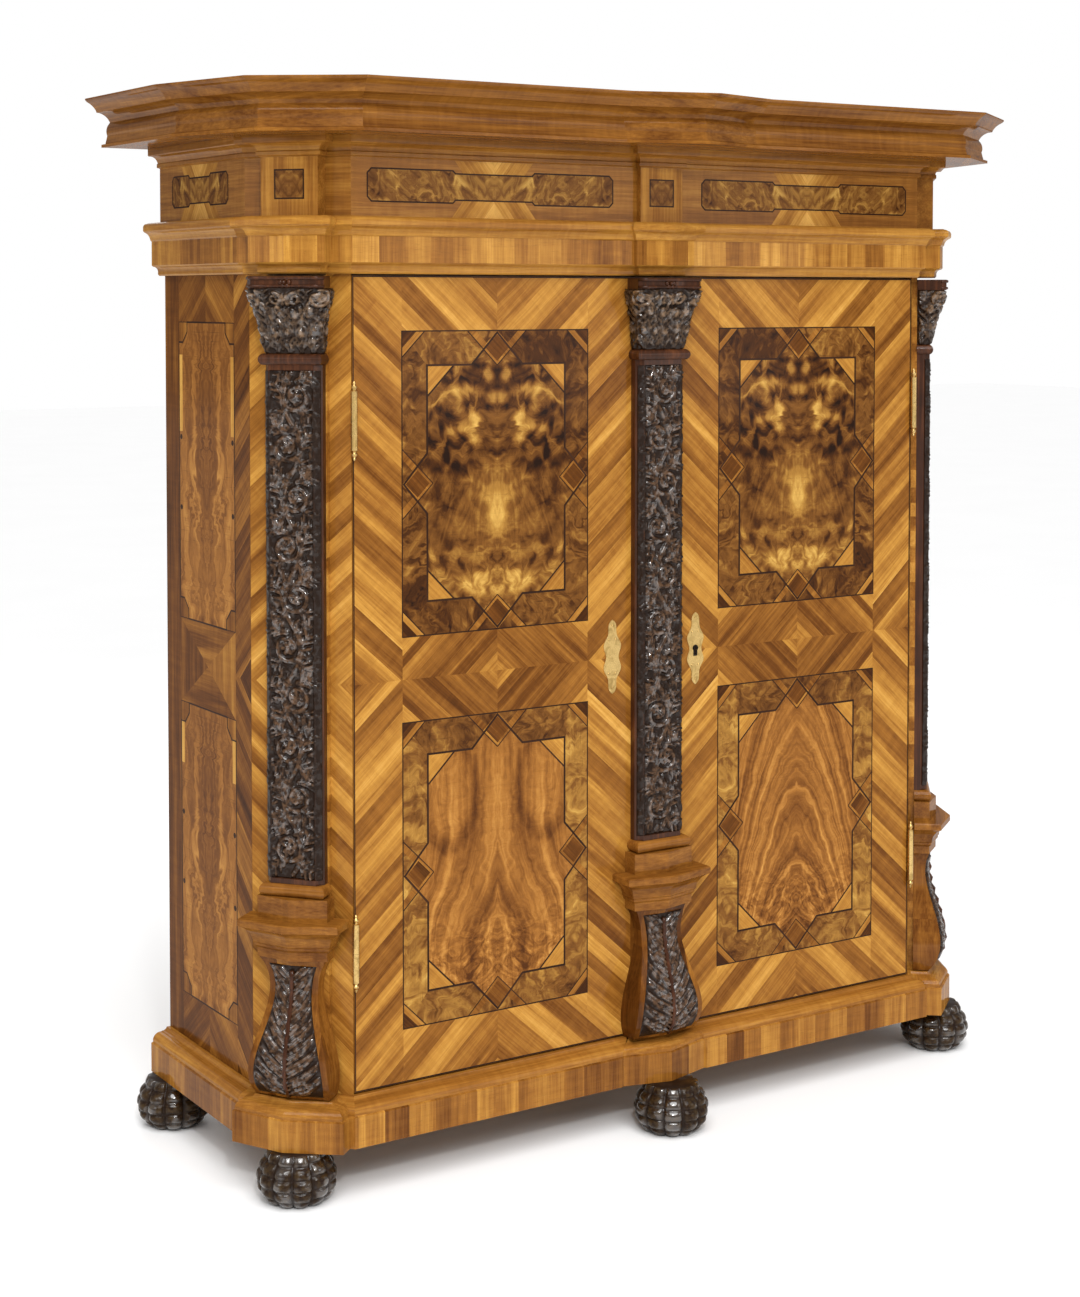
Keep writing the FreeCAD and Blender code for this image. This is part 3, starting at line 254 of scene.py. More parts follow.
def makeFlame(name, arch):  # lower fields; arch 1 gives nested arches, 0 a spreading feather
    finish = Finish(name, polish)
    vector = finish.grain()
    across, up = finish.split(vector)[:2]
    drift = (finish.noise(vector, 9.0, 3.0, 0.55, 0.8) - 0.5) * 0.10
    rings = up + drift + across * across * 9.0 + across * 0.85
    waist = 0.038 + finish.between(up, 0.06, -0.16) * 0.075
    column = across + drift * 0.45 - waist
    line = rings * arch + column * (1 - arch)
    broad = finish.noise(finish.join(line * 26, up * 2.2), 1.0, 3.0, 0.6, 0.5)
    fine = finish.noise(finish.join(line * 120, up * 6.0), 1.0, 3.0, 0.6)
    mottle = finish.noise(vector, 24.0, 4.0, 0.65, 2.4)
    low = finish.between(up, -0.06, -0.20)
    lobe = finish.oval(across, up, (0.115, 0.15), (0.062, 0.10))
    rim = finish.near(lobe + drift * 3.0, 1.05, 0.28)
    crotch = finish.near(column, 0.0, 0.05) * (1 - low)
    shade = (rim * 0.17 - finish.between(lobe, 1.0, 0.5) * 0.12 - crotch * 0.06) * (1 - arch)
    value = 0.42 + (broad - 0.5) * 1.45 + (fine - 0.5) * 0.55 + (mottle - 0.5) * (0.5 + 1.3 * low) - shade
    return woodSurface(finish, finish.stretch(vector, (0.3, 1, 1)), value, flameStops, 0.28)


def makeMoulding(name, turn, bands, tone):  # cross-banded between the levels in bands
    finish = Finish(name, gloss)
    along, out, up = finish.split(finish.turned(turn))
    inBand = 0.0
    for low, high in bands:
        inBand = inBand + finish.sum("GREATER_THAN", up, low) * finish.sum("LESS_THAN", up, high)
    wander = finish.noise(finish.join(along * 3.0, 0.0), 1.0, 1.0)
    block = finish.chance(along / woodLook["block"] + wander * 2.0)
    upright = finish.join(up + block * 3.0, along, out)
    level = finish.join(along, up, out)
    bandValue = woodValue(finish, upright, tone - 0.05 + (block - 0.5) * 0.36, 0.34, 0.2)
    value = bandValue * inBand + woodValue(finish, level, tone, 0.30, 0.2) * (1 - inBand)
    bare = finish.sum("GREATER_THAN", up, crownLevel)  # the top of the cornice was never polished
    finish.show(coat=(1 - bare) * gloss["Coat Weight"])
    return woodSurface(finish, level, value, walnutStops)


def makeStripe(name, turn, rise):  # slanting strips of veneer on the corner posts
    finish = Finish(name, polish)
    along, out, up = finish.split(finish.turned(turn))
    bent = finish.sum("ABSOLUTE", up - woodLook["middle"])
    along = along * rise
    slope = math.radians(woodLook["slope"])
    across = bent * math.cos(slope) + along * math.sin(slope)
    lengthwise = along * math.cos(slope) - bent * math.sin(slope)
    wander = finish.noise(finish.join(across * 6.0, 0.0), 1.0, 1.0)
    strip = finish.chance(across / woodLook["strip"] + wander * 2.0)
    grain = finish.join(lengthwise + strip * 5.0, across, out)
    value = woodValue(finish, grain, 0.60 + (strip - 0.5) * 0.36, 0.40)
    return woodSurface(finish, grain, value, walnutStops)


def makeEbony(name, worn, rubbedColour, spots=80.0):  # stained carving, rubbed brown on the high places
    finish = Finish(name, {"Specular IOR Level": 0.12, "Coat Roughness": 0.10, "Coat IOR": 1.9})
    vector = finish.place()
    grime = finish.noise(vector, 90.0, 4.0, 0.6)
    grain = finish.noise(finish.stretch(vector, (240, 240, 12)), 1.0, 3.0, 0.6)
    high = finish.between(finish.tone(), 0.20, 1.0)
    glint = finish.between(finish.noise(vector, spots, 2.0, 0.5), 0.46, 0.60)
    rubbed = high * finish.between(grime, 0.35, 0.65) * worn
    stain = finish.mix(grain, (0.007, 0.003, 0.002), (0.022, 0.010, 0.004))
    rough = 0.40 - high * 0.16 + (grime - 0.5) * 0.18
    shine = 0.03 + (0.15 + high * 0.85) * glint
    return finish.show(colour=finish.mix(rubbed, stain, rubbedColour), roughness=rough, coat=shine,
                       normal=finish.bump(grain + grime, 0.3, 0.001))


def makeFlank(name):  # plain dark sides and borders of the pilasters
    finish = Finish(name, {"Coat Weight": 0.25, "Coat Roughness": 0.10, "Specular IOR Level": 0.1})
    vector = finish.place()
    grain = finish.noise(finish.stretch(vector, (150, 150, 5)), 1.0, 4.0, 0.6, 0.4)
    cloud = finish.noise(vector, 14.0, 3.0, 0.5)
    value = (grain - 0.5) * 1.2 + (cloud - 0.5) * 0.8 + 0.5
    return finish.show(colour=finish.ramp(value, flankStops), roughness=0.26 + grain * 0.12,
                       normal=finish.bump(grain, 0.1, 0.0004))


def makeMetal(name, dark, light, roughness, spots):
    finish = Finish(name, {"Metallic": 1.0})
    vector = finish.place()
    cloud = finish.noise(vector, spots, 4.0, 0.6, 0.6)
    scratch = finish.noise(finish.stretch(vector, (300, 300, 30)), 1.0, 3.0, 0.6)
    tarnish = finish.between(cloud, 0.42, 0.68)
    rough = roughness + tarnish * 0.2 + (scratch - 0.5) * 0.12
    return finish.show(colour=finish.mix(tarnish, light, dark), roughness=rough,
                       normal=finish.bump(scratch + cloud * 2.0, 0.12, 0.0004))


def makePine(name, lengthAxis):  # unpolished inside boards and back
    finish = Finish(name, {"Coat Weight": 0.0, "IOR": 1.45})
    along, side, up = finish.split(finish.place())
    axes = {"x": (along, up, side), "y": (side, along, up), "z": (up, along, side)}[lengthAxis]
    board = finish.chance(axes[1] / woodLook["board"])
    vector = finish.join(axes[0] + board * 4.0, axes[1] + board * 0.7, axes[2])
    rings = finish.noise(finish.stretch(vector, (1.2, 22, 22)), 1.0, 2.0, 0.5, 0.8)
    bands = finish.sum("FRACT", rings * 9.0)
    fibre = finish.noise(finish.stretch(vector, (8, 300, 300)), 1.0, 3.0, 0.6)
    dirt = finish.noise(vector, 5.0, 4.0, 0.6)
    value = 0.38 + bands * 0.25 + (fibre - 0.5) * 0.35 + (board - 0.5) * 0.22 + (dirt - 0.5) * 0.4
    return finish.show(colour=finish.ramp(value, pineStops), roughness=0.62 + (fibre - 0.5) * 0.3,
                       normal=finish.bump(bands + fibre, 0.25, 0.0006))


def dress(material, *names):
    for name in names:
        nodes[name].data.materials.clear()
        nodes[name].data.materials.append(material)


belts = {"plinth": ([(0.103, 0.1665)], 0.54), "architrave": ([(1.827, 1.878)], 0.64),
         "cornice": ([], 0.40), "frieze": ([], 0.52)}  # cross-banded levels and tone
turns = {"front": 0.0, "side_left": math.pi / 2, "side_right": -math.pi / 2, "corner_left": cant,
         "corner_right": -cant}
everyLevel = [(0.0, 3.0)]
for belt, (bands, tone) in belts.items():
    for run, turn in turns.items():
        dress(makeMoulding(belt + "_" + run, turn, bands, tone), belt + "_" + run)
ebony = makeEbony("carvedEbony", 0.95, (0.100, 0.052, 0.026))
crownEbony = makeEbony("crownEbony", 1.0, (0.185, 0.112, 0.062))
paw = makeEbony("pawEbony", 0.45, (0.085, 0.052, 0.020), 28.0)
flank = makeFlank("darkFlank")
brass = makeMetal("oldBrass", (0.44, 0.29, 0.10), (0.66, 0.45, 0.17), 0.26, 60.0)
iron = makeMetal("blackIron", (0.035, 0.030, 0.028), (0.16, 0.15, 0.14), 0.42, 40.0)
# near-black iron for the ring round the keyhole: painted shade of the keyhole
keyholeShadeIron = makeMetal("keyholeShadeIron", (0.006, 0.005, 0.004), (0.02, 0.017, 0.014), 0.5, 40.0)
veneer = makeVeneer("stripVeneer", walnutStops)
stringing = makeVeneer("darkStringing", stringStops)
burl = makeBurl("burlWalnut")
burr = makeBurr("friezeBurr", 0.52, burlStops, 0.0)
ringBurr = makeBurr("ringBurr", 0.42, burlStops, 0.45)
honeyBurr = makeBurr("honeyBurr", 0.39, flameStops, 1.0)
flames = {-1: makeFlame("featherWalnut", 0.0), 1: makeFlame("archWalnut", 1.0)}
dress(brass, "hinge_pintles", "hinge_knuckles_left", "hinge_knuckles_right", "escutcheon_left",
      "escutcheon_right")
dress(iron, "lock_case", "lock_bolt", "lock_keeper", "top_bolt", "bottom_bolt", "bolt_guides")
dress(makePine("boardsAcross", "x"), "floor_board", "top_board", "shelves", "plinth_rear_rail",
      "crown_rear_rail", "dust_board", "foot_blocks")
dress(makePine("boardsUpright", "z"), "back_boards")
dress(makePine("cleatPine", "y"), "shelf_cleats")
dress(paw, "front_feet", "rear_feet")
for word, turn in (("left", cant), ("centre", 0.0), ("right", -cant)):
    dress(flank, "pilaster_shaft_" + word, "capital_" + word)
    dress(makeMoulding("base_" + word, turn, [], 0.41), "pilaster_base_" + word)
    dress(makeMoulding("vase_" + word, turn, everyLevel, 0.36), "pedestal_" + word)
dress(makeStripe("postLeft", cant, -1), "corner_post_left")
dress(makeStripe("postRight", -cant, 1), "corner_post_right")
dress(makeMoulding("doorInside", 0.0, everyLevel, 0.40), "door_left", "door_right")
dress(makeMoulding("sideGround", math.pi / 2, everyLevel, 0.36), "side_panel_left", "side_panel_right")
print("finishes made:", len(bpy.data.materials))


def makePiece(name, points, faces, material, body, tones, grains=None):  # grains on flat slips
    mesh = bpy.data.meshes.new(name)
    mesh.from_pydata(points, [], faces)
    smooth = grains is None
    if not smooth:
        layer = mesh.uv_layers.new(name="grain")
        layer.data.foreach_set("uv", np.asarray(grains, dtype=np.float32).ravel())
    attribute = mesh.attributes.new("tone", "FLOAT", "POINT" if smooth else "FACE")
    attribute.data.foreach_set("value", np.asarray(tones, dtype=np.float32))
    work = bmesh.new()
    work.from_mesh(mesh)
    bmesh.ops.recalc_face_normals(work, faces=work.faces)
    work.to_mesh(mesh)
    work.free()
    mesh.polygons.foreach_set("use_smooth", [smooth] * len(mesh.polygons))
    mesh.materials.append(material)
    piece = bpy.data.objects.new(name, mesh)
    scene.collection.objects.link(piece)
    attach(piece, body)
    return piece


def rect(left, low, right, high):
    return [(left, low), (right, low), (right, high), (left, high)]


def mirrored(outline, turn, corner):
    return [(corner[0] + turn[0] * x, corner[1] + turn[1] * z) for x, z in outline]


def fourfold(quarter, corner):  # a closed line from its upper right quarter
    path = mirrored(quarter, (1, 1), corner) + mirrored(quarter[-2::-1], (1, -1), corner)
    return path + mirrored(quarter[1:], (-1, -1), corner) + mirrored(quarter[-2:0:-1], (-1, 1), corner)


def keepHalf(outline, normal, limit):  # part of an outline on one side of a line
    kept = []
    for index, point in enumerate(outline):
        follow = outline[(index + 1) % len(outline)]
        here = point[0] * normal[0] + point[1] * normal[1] - limit
        there = follow[0] * normal[0] + follow[1] * normal[1] - limit
        if here <= 0:
            kept.append(point)
        if here * there < 0:
            share = here / (here - there)
            kept.append((point[0] + share * (follow[0] - point[0]),
                         point[1] + share * (follow[1] - point[1])))
    return kept


class Sheet:  # flat pieces of veneer on one face, in millimetres, each a thin closed slip
    def __init__(self, origin, across, outward):
        self.origin = Vector(origin)
        self.across = Vector(across)
        self.outward = Vector(outward)
        self.points = []
        self.faces = []
        self.grains = []
        self.tones = []

    def lay(self, outline, lift, grain, tone, book=None):  # book is where a matched pair opens
        if len(outline) < 3:
            return
        start = len(self.points)
        count = len(outline)
        spread = random.Random(len(self.points) * 7 + 3)
        offset = (spread.uniform(0, 30), spread.uniform(0, 30))
        marks = []
        for height in (lift, 0.0):
            for x, z in outline:
                place = self.origin + self.across * (x / 1000) + self.outward * (height / 1000)
                self.points.append((place.x, place.y, place.z + z / 1000))
                if book:
                    marks.append((abs(x - book[0]) / 1000, (z - book[1]) / 1000))
                else:
                    marks.append(((x * math.cos(grain) + z * math.sin(grain)) / 1000 + offset[0],
                                  (z * math.cos(grain) - x * math.sin(grain)) / 1000 + offset[1]))
        loops = [list(range(count)), list(range(2 * count - 1, count - 1, -1))]
        for index in range(count):
            follow = (index + 1) % count
            loops.append([follow, index, count + index, count + follow])
        for loop in loops:
            self.faces.append([start + index for index in loop])
            self.grains += [marks[index] for index in loop]
            self.tones.append(tone)

    def strips(self, outline, slope, sequence, lift, corner, turn, lighter=0.0):
        normal = (-math.sin(slope), math.cos(slope))
        grain = math.atan2(turn[1] * math.sin(slope), turn[0] * math.cos(slope))
        reaches = [x * normal[0] + z * normal[1] for x, z in outline]
        level = sequence["start"]
        index = 0
        while level < max(reaches):
            width, tone = sequence["strips"][index % len(sequence["strips"])]
            index += 1
            if level + width > min(reaches):
                part = keepHalf(outline, normal, level + width)
                part = keepHalf(part, (-normal[0], -normal[1]), -level) if len(part) > 2 else part
                self.lay(mirrored(part, turn, corner), lift, grain, tone + lighter)
            level += width

    def string(self, path, width, lift, closed=False, tone=0.5):  # a thin line with mitred corners
        count = len(path)
        sides = []
        for index, spot in enumerate(path):
            directions = []
            if closed or index:
                before = path[index - 1]
                directions.append((spot[0] - before[0], spot[1] - before[1]))
            if closed or index < count - 1:
                after = path[(index + 1) % count]
                directions.append((after[0] - spot[0], after[1] - spot[1]))
            units = [(a / math.hypot(a, b), b / math.hypot(a, b)) for a, b in directions]
            normal = (-sum(unit[1] for unit in units), sum(unit[0] for unit in units))
            size = math.hypot(*normal)
            normal = (normal[0] / size, normal[1] / size)
            reach = width / 2 / max(0.4, normal[1] * units[0][0] - normal[0] * units[0][1])
            sides.append(((spot[0] + normal[0] * reach, spot[1] + normal[1] * reach),
                          (spot[0] - normal[0] * reach, spot[1] - normal[1] * reach)))
        for index in range(count if closed else count - 1):
            first = sides[index]
            second = sides[(index + 1) % count]
            grain = math.atan2(second[0][1] - first[0][1], second[0][0] - first[0][0])
            self.lay([first[0], first[1], second[1], second[0]], lift, grain, tone)

    def finish(self, name, material, body, slotName):
        makePiece(name, self.points, self.faces, material, body, self.tones, self.grains)


groundLift, fieldLift, lineLift = 0.2, 0.26, 0.36  # how far slips stand out, in millimetres
upGrain = math.pi / 2


def makeSheets(count, origin, across, outward):
    return [Sheet(origin, across, outward) for spare in range(count)]


def stripSequence(seed, start, narrow, wide, length=1600):
    picks = random.Random(seed)
    strips = []
    total = 0
    while total < length:
        width = picks.uniform(narrow, wide)
        tone = picks.choice((0.38, 0.45, 0.52, 0.57, 0.63, 0.70)) + picks.uniform(-0.05, 0.05)
        strips.append((width, tone))
        total += width
    return {"start": start, "strips": strips}


doorLook = {"centre": 390, "middle": 1003, "panelHalf": 220, "upper": (1390.5, 302.5),
            "lower": (610.5, 306.5), "inset": (57, 68), "jog": 60, "slope": 42, "low": 196.4,
            "high": 1801.6, "inner": 60, "outer": 719.2, "meeting": 2.4, "key": (101, 984, 115, 1019),
            "bevel": 62, "tip": 34, "band": 50, "bar": 68, "diamond": 35, "overlap": 4, "lift": 0.25}


def layPanel(sheet, lines, ring, field, level, half, dark):
    look = doorLook
    across, jog, bevel, tip = look["panelHalf"], look["jog"], look["bevel"], look["tip"]
    band, bar, point, overlap = look["band"], look["bar"], look["diamond"], look["overlap"]
    inAcross = across - look["inset"][0]
    inUp = half - look["inset"][1]
    corner = (look["centre"], level)
    for side in (-1, 1):
        leaf = rect(0, -half, side * across, half)  # one leaf of the opened book
        field.lay(mirrored(leaf, (1, 1), corner), groundLift, 0, 0.5, corner)
    picks = random.Random(int(level) + 11)
    topRing = [(0, half), (across, half), (inAcross, inUp), (jog, inUp)]
    sideRing = [(across, 0), (across, half), (inAcross, inUp), (inAcross, jog)]
    slips = [([(inAcross, inUp), (inAcross - bevel, inUp), (inAcross, inUp - bevel)], 0.27, 0.62 + dark),
             ([(across, half), (across - tip, half), (across, half - tip)], 0.27, 0.04),
             ([(across - tip, half), (across - band, half), (across, half - band), (across, half - tip)],
              0.27, 0.55),
             ([(bar, half), (band, half), (0, half - band), (0, half - bar)], 0.29, 0.42),
             ([(across, bar), (across, band), (across - band, 0), (across - bar, 0)], 0.29, 0.42)]
    cuts = [([(bar + 2, half), (0, half - bar - 2)], 2.2, 0.33),
            ([(across, bar + 2), (across - bar - 2, 0)], 2.2, 0.33),
            ([(inAcross - bevel, inUp), (inAcross, inUp - bevel)], 3.4, 0.36),
            ([(across - band - 2, half), (across, half - band - 2)], 2.2, 0.33)]
    for turn in quarters:
        tones = [picks.uniform(0.32, 0.68) + dark for spare in range(2)]
        ring.lay(mirrored(topRing, turn, corner), look["lift"], 0.0, tones[0])
        ring.lay(mirrored(sideRing, turn, corner), look["lift"], upGrain, tones[1])
        diagonal = math.atan2(-turn[1], turn[0])
        for outline, lift, tone in slips:
            sheet.lay(mirrored(outline, turn, corner), lift, diagonal, tone)
        for path, width, lift in cuts:
            lines.string(mirrored(path, turn, corner), width, lift)
    for x, z in ((0, half - point), (0, point - half), (across - point, 0), (point - across, 0)):
        for size, lift, tone in ((point, 0.30, 0.50), (point - 8, 0.32, 0.22)):
            diamond = [(x + size, z), (x, z + size), (x - size, z), (x, z - size)]
            sheet.lay(mirrored(diamond, (1, 1), corner), lift, math.pi / 4, tone)
    quarter = [(jog, inUp), (inAcross, inUp), (inAcross, jog), (across - overlap, 0)]
    path = []
    for turn in ((1, 1), (1, -1), (-1, -1), (-1, 1)):
        part = mirrored(quarter, turn, corner)
        if turn[0] * turn[1] < 0:
            part = part[-2::-1] + mirrored([(0, half - overlap)], turn, corner)
        path += part
    lines.string(path, 4.2, 0.38, True)
    edge = [(across, half), (across, -half), (-across, -half), (-across, half)]
    lines.string(mirrored(edge, (1, 1), corner), 2.6, lineLift, True)


def layDoor(side, word):
    look = doorLook
    body = word.lower() + "_door"
    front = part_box("door_" + word.lower())[0][1]
    sheet, lines, upper, lower, ring = makeSheets(5, (0, front, 0), (side, 0, 0), (0, -1, 0))
    corner = (look["centre"], look["middle"])
    slope = math.radians(look["slope"])
    half, low, high = look["panelHalf"], look["low"], look["high"]
    inner, outer, meeting = look["inner"], look["outer"], look["meeting"]
    border = stripSequence(21, -600, 15, 52)
    middle = stripSequence(34, 0, 16, 40)
    for turn in quarters:
        across = outer - corner[0] if turn[0] > 0 else corner[0] - inner
        reach = high - corner[1] if turn[1] > 0 else corner[1] - low
        level, panelHalf = look["upper"] if turn[1] > 0 else look["lower"]
        far = abs(level - corner[1]) + panelHalf
        near = abs(level - corner[1]) - panelHalf
        sheet.strips(rect(half, 0, across, reach), slope, border, look["lift"], corner, turn)
        sheet.strips(rect(0, far, half, reach), slope, border, look["lift"], corner, turn)
        sheet.strips(rect(0, 0, half, near), -slope, middle, look["lift"], corner, turn)
    sheet.lay(rect(meeting, low, inner, high), groundLift, upGrain, 0.3)
    layPanel(sheet, lines, ring, upper, *look["upper"], 0.0)
    layPanel(sheet, lines, ring, lower, *look["lower"], 0.08)
    lines.string(rect(meeting + 0.5, low + 1.4, outer - 1.4, high - 1.4), 2.6, 0.34, True)
    if side > 0:  # a dark slip behind the cut for the key: painted shade of the keyhole
        lines.lay(rect(*look["key"]), 0.45, 0.0, 0.1)
    ring.finish("panelRings" + word, ringBurr, body, "door_veneer")
    sheet.finish("doorMarquetry" + word, veneer, body, "door_veneer")
    lines.finish("doorStringing" + word, stringing, body, "door_veneer")
    upper.finish("burlField" + word, burl, body, "door_veneer")
    lower.finish("flameField" + word, flames[side], body, "door_veneer")


for word, side in hands:
    layDoor(side, word)
print("door marquetry laid")

pilasters = {"Left": ((-0.8018, doorPlane + 0.07405, 0), -cant, "carcass"),
             "Centre": ((0, doorPlane, 0), 0.0, "right_door"),
             "Right": ((0.8018, doorPlane + 0.07405, 0), cant, "carcass")}


def standing(word):  # pilaster millimetres to frame metres
    spot, angle, body = pilasters[word]
    return Matrix.Translation(spot) @ Matrix.Rotation(angle, 4, "Z") @ Matrix.Scale(0.001, 4), body


friezeLook = {"middle": 1978, "half": 32, "waist": 26, "low": 1917, "high": 2030, "step": 9, "end": 40,
              "slope": 52, "lighter": 0.26, "front": 0.010, "centre": 0.024, "corner": 0.034, "side": 0.870,
              "square": (-30, 1950, 30, 2005)}


def layFriezePanel(sheet, lines, fields, centre, half, waist, reach):  # reach is to both ends of the face
    look = friezeLook
    corner = (centre, look["middle"])
    high, step = look["half"], look["step"]
    slope = math.radians(look["slope"])
    strips = stripSequence(55, -40, 13, 30)
    for turn in ((1, 1), (1, -1), (-1, 1), (-1, -1)):
        end = reach[1] if turn[0] > 0 else reach[0]
        tall = look["high"] - corner[1] if turn[1] > 0 else corner[1] - look["low"]
        sheet.strips(rect(0, 0, end, tall), slope, strips, groundLift, corner, turn, look["lighter"])
    path = fourfold([(0, look["waist"]), (waist, look["waist"]), (waist + 6, high), (half - step, high),
                     (half, high - step), (half, 0)], corner)
    inner = half - look["end"]
    for low, up, tone in ((0, waist, 0.60), (waist, inner, 0.52), (inner, half, 0.44)):
        for side in (-1, 1):
            part = keepHalf(path, (side, 0), side * corner[0] + up)
            part = keepHalf(part, (-side, 0), -side * corner[0] - low)
            fields.lay(part, fieldLift, 0.0, tone, corner)
    lines.string(path, 3.0, lineLift, True)


def laySquare(sheet, lines, fields, faceHalf):  # one inlaid square on a frieze block
    look = friezeLook
    sheet.lay(rect(-faceHalf, look["low"], faceHalf, look["high"]), groundLift, upGrain, 0.55)
    square = rect(*look["square"])
    for side in (-1, 1):
        fields.lay(keepHalf(square, (side, 0), 0), fieldLift, 0.0, 0.46, (0, look["middle"]))
    lines.string(square, 3.0, lineLift, True)


def finishSheets(sheets, names, field):
    for sheet, name, material in zip(sheets, names, (veneer, stringing, field)):
        sheet.finish(name, material, "carcass", "walnut")


def layFace(lay, name, origin, across, outward, *sizes):  # one face of the frieze
    sheets = makeSheets(3, origin, across, outward)
    lay(*sheets, *sizes)
    finishSheets(sheets, [name + kind for kind in ("Strips", "Strings", "Burr")], burr)


def layFrieze():
    look = friezeLook
    ahead = (0, -1, 0)
    for word, side in hands:
        layFace(layFriezePanel, "friezeFront" + word, (0, doorPlane - look["front"], 0), (side, 0, 0), ahead,
                403, 288, 90, (348, 320))
        layFace(layFriezePanel, "friezeSide" + word, (side * look["side"], doorPlane, 0), (0, 1, 0),
                (side, 0, 0), 378, 138, 48, (204, 203))
        turned = Matrix.Rotation(pilasters[word][1], 3, "Z")
        spot = Vector(pilasters[word][0]) + turned @ Vector((0, -look["corner"], 0))
        layFace(laySquare, "friezeCorner" + word, spot, turned @ Vector((1, 0, 0)),
                turned @ Vector(ahead), 59.5)
    layFace(laySquare, "friezeCentre", (0, doorPlane - look["centre"], 0), (1, 0, 0), ahead, 53.5)


sideLook = {"face": 0.860, "centre": 374, "half": 136, "upper": (1398, 310), "lower": (600, 310),
            "front": 167, "back": 581, "low": 194, "high": 1804, "middle": 999, "slope": -42, "dot": 6,
            "upperMarks": ((1480, 1640), (1468, 1320)), "lowerMarks": ((780, 870), (675, 527)),
            "ends": ((0.0, 0.38), (math.pi / 2, 0.26), (0.0, 0.42), (math.pi / 2, 0.50))}


def laySidePanel(sheet, lines, fields, level, tall, bar, dots):  # bar and dots are the light and dark marks
    corner = (sideLook["centre"], level)
    half, size = sideLook["half"], sideLook["dot"]
    path = fourfold([(0, tall), (half - 42, tall), (half - 42, tall - 20), (half - 20, tall - 42),
                     (half, tall - 42), (half, 0)], corner)
    for side in (-1, 1):
        fields.lay(keepHalf(path, (side, 0), side * corner[0]), fieldLift, 0.0, 0.5, corner)
    lines.string(path, 3.4, lineLift, True)
    eighths = [turn * math.pi / 4 for turn in range(8)]
    octagon = [(size * math.cos(turn), size * math.sin(turn)) for turn in eighths]
    for side in (-1, 1):
        strip = rect(side * (half - 17), bar[0], side * (half - 2), bar[1])
        sheet.lay(mirrored(strip, (1, 1), (corner[0], 0)), 0.30, math.pi / 2, 0.84)
        for spot in dots:
            lines.lay(mirrored(octagon, (1, 1), (corner[0] + side * (half - 9), spot)), 0.34, 0.0, 0.5)


def laySide(side, word):
    look = sideLook
    sheets = makeSheets(3, (side * look["face"], doorPlane, 0), (0, 1, 0), (side, 0, 0))
    sheet, lines = sheets[:2]
    low, high, centre, middle = look["low"], look["high"], look["centre"], look["middle"]
    upper, lower = look["upper"], look["lower"]
    near = centre - look["half"]
    far = centre + look["half"]
    strips = stripSequence(71, -1400, 16, 44, 3400)
    for turn in (1, -1):
        stile = rect(look["front"], 0, near, high - middle if turn > 0 else middle - low)
        sheet.strips(stile, math.radians(look["slope"]), strips, groundLift, (0, middle), (1, turn), -0.20)
    sheet.lay(rect(far, low, look["back"], high), groundLift, upGrain, 0.26)
    for bottom, top in ((low, lower[0] - lower[1]), (upper[0] + upper[1], high)):
        sheet.lay(rect(near, bottom, centre, top), groundLift, 0.7, 0.40)
        sheet.lay(rect(centre, bottom, far, top), groundLift, -0.7, 0.32)
    between = rect(near, lower[0] + lower[1], far, upper[0] - upper[1])
    for index, (grain, tone) in enumerate(look["ends"]):
        sheet.lay([between[index], between[(index + 1) % 4], (centre, middle)], groundLift, grain, tone)
    laySidePanel(*sheets, *upper, *look["upperMarks"])
    laySidePanel(*sheets, *lower, *look["lowerMarks"])
    for level, tall in (upper, lower):
        ground = rect(near, level - tall, far, level + tall)
        sheet.lay(ground, 0.22, math.pi / 2, 0.40)
        lines.string(ground, 1.6, 0.30, True)
    finishSheets(sheets, [kind + word for kind in ("sideStrips", "sideStrings", "sideBurr")], honeyBurr)


layFrieze()
for word, side in hands:
    laySide(side, word)
print("frieze and side panels laid")


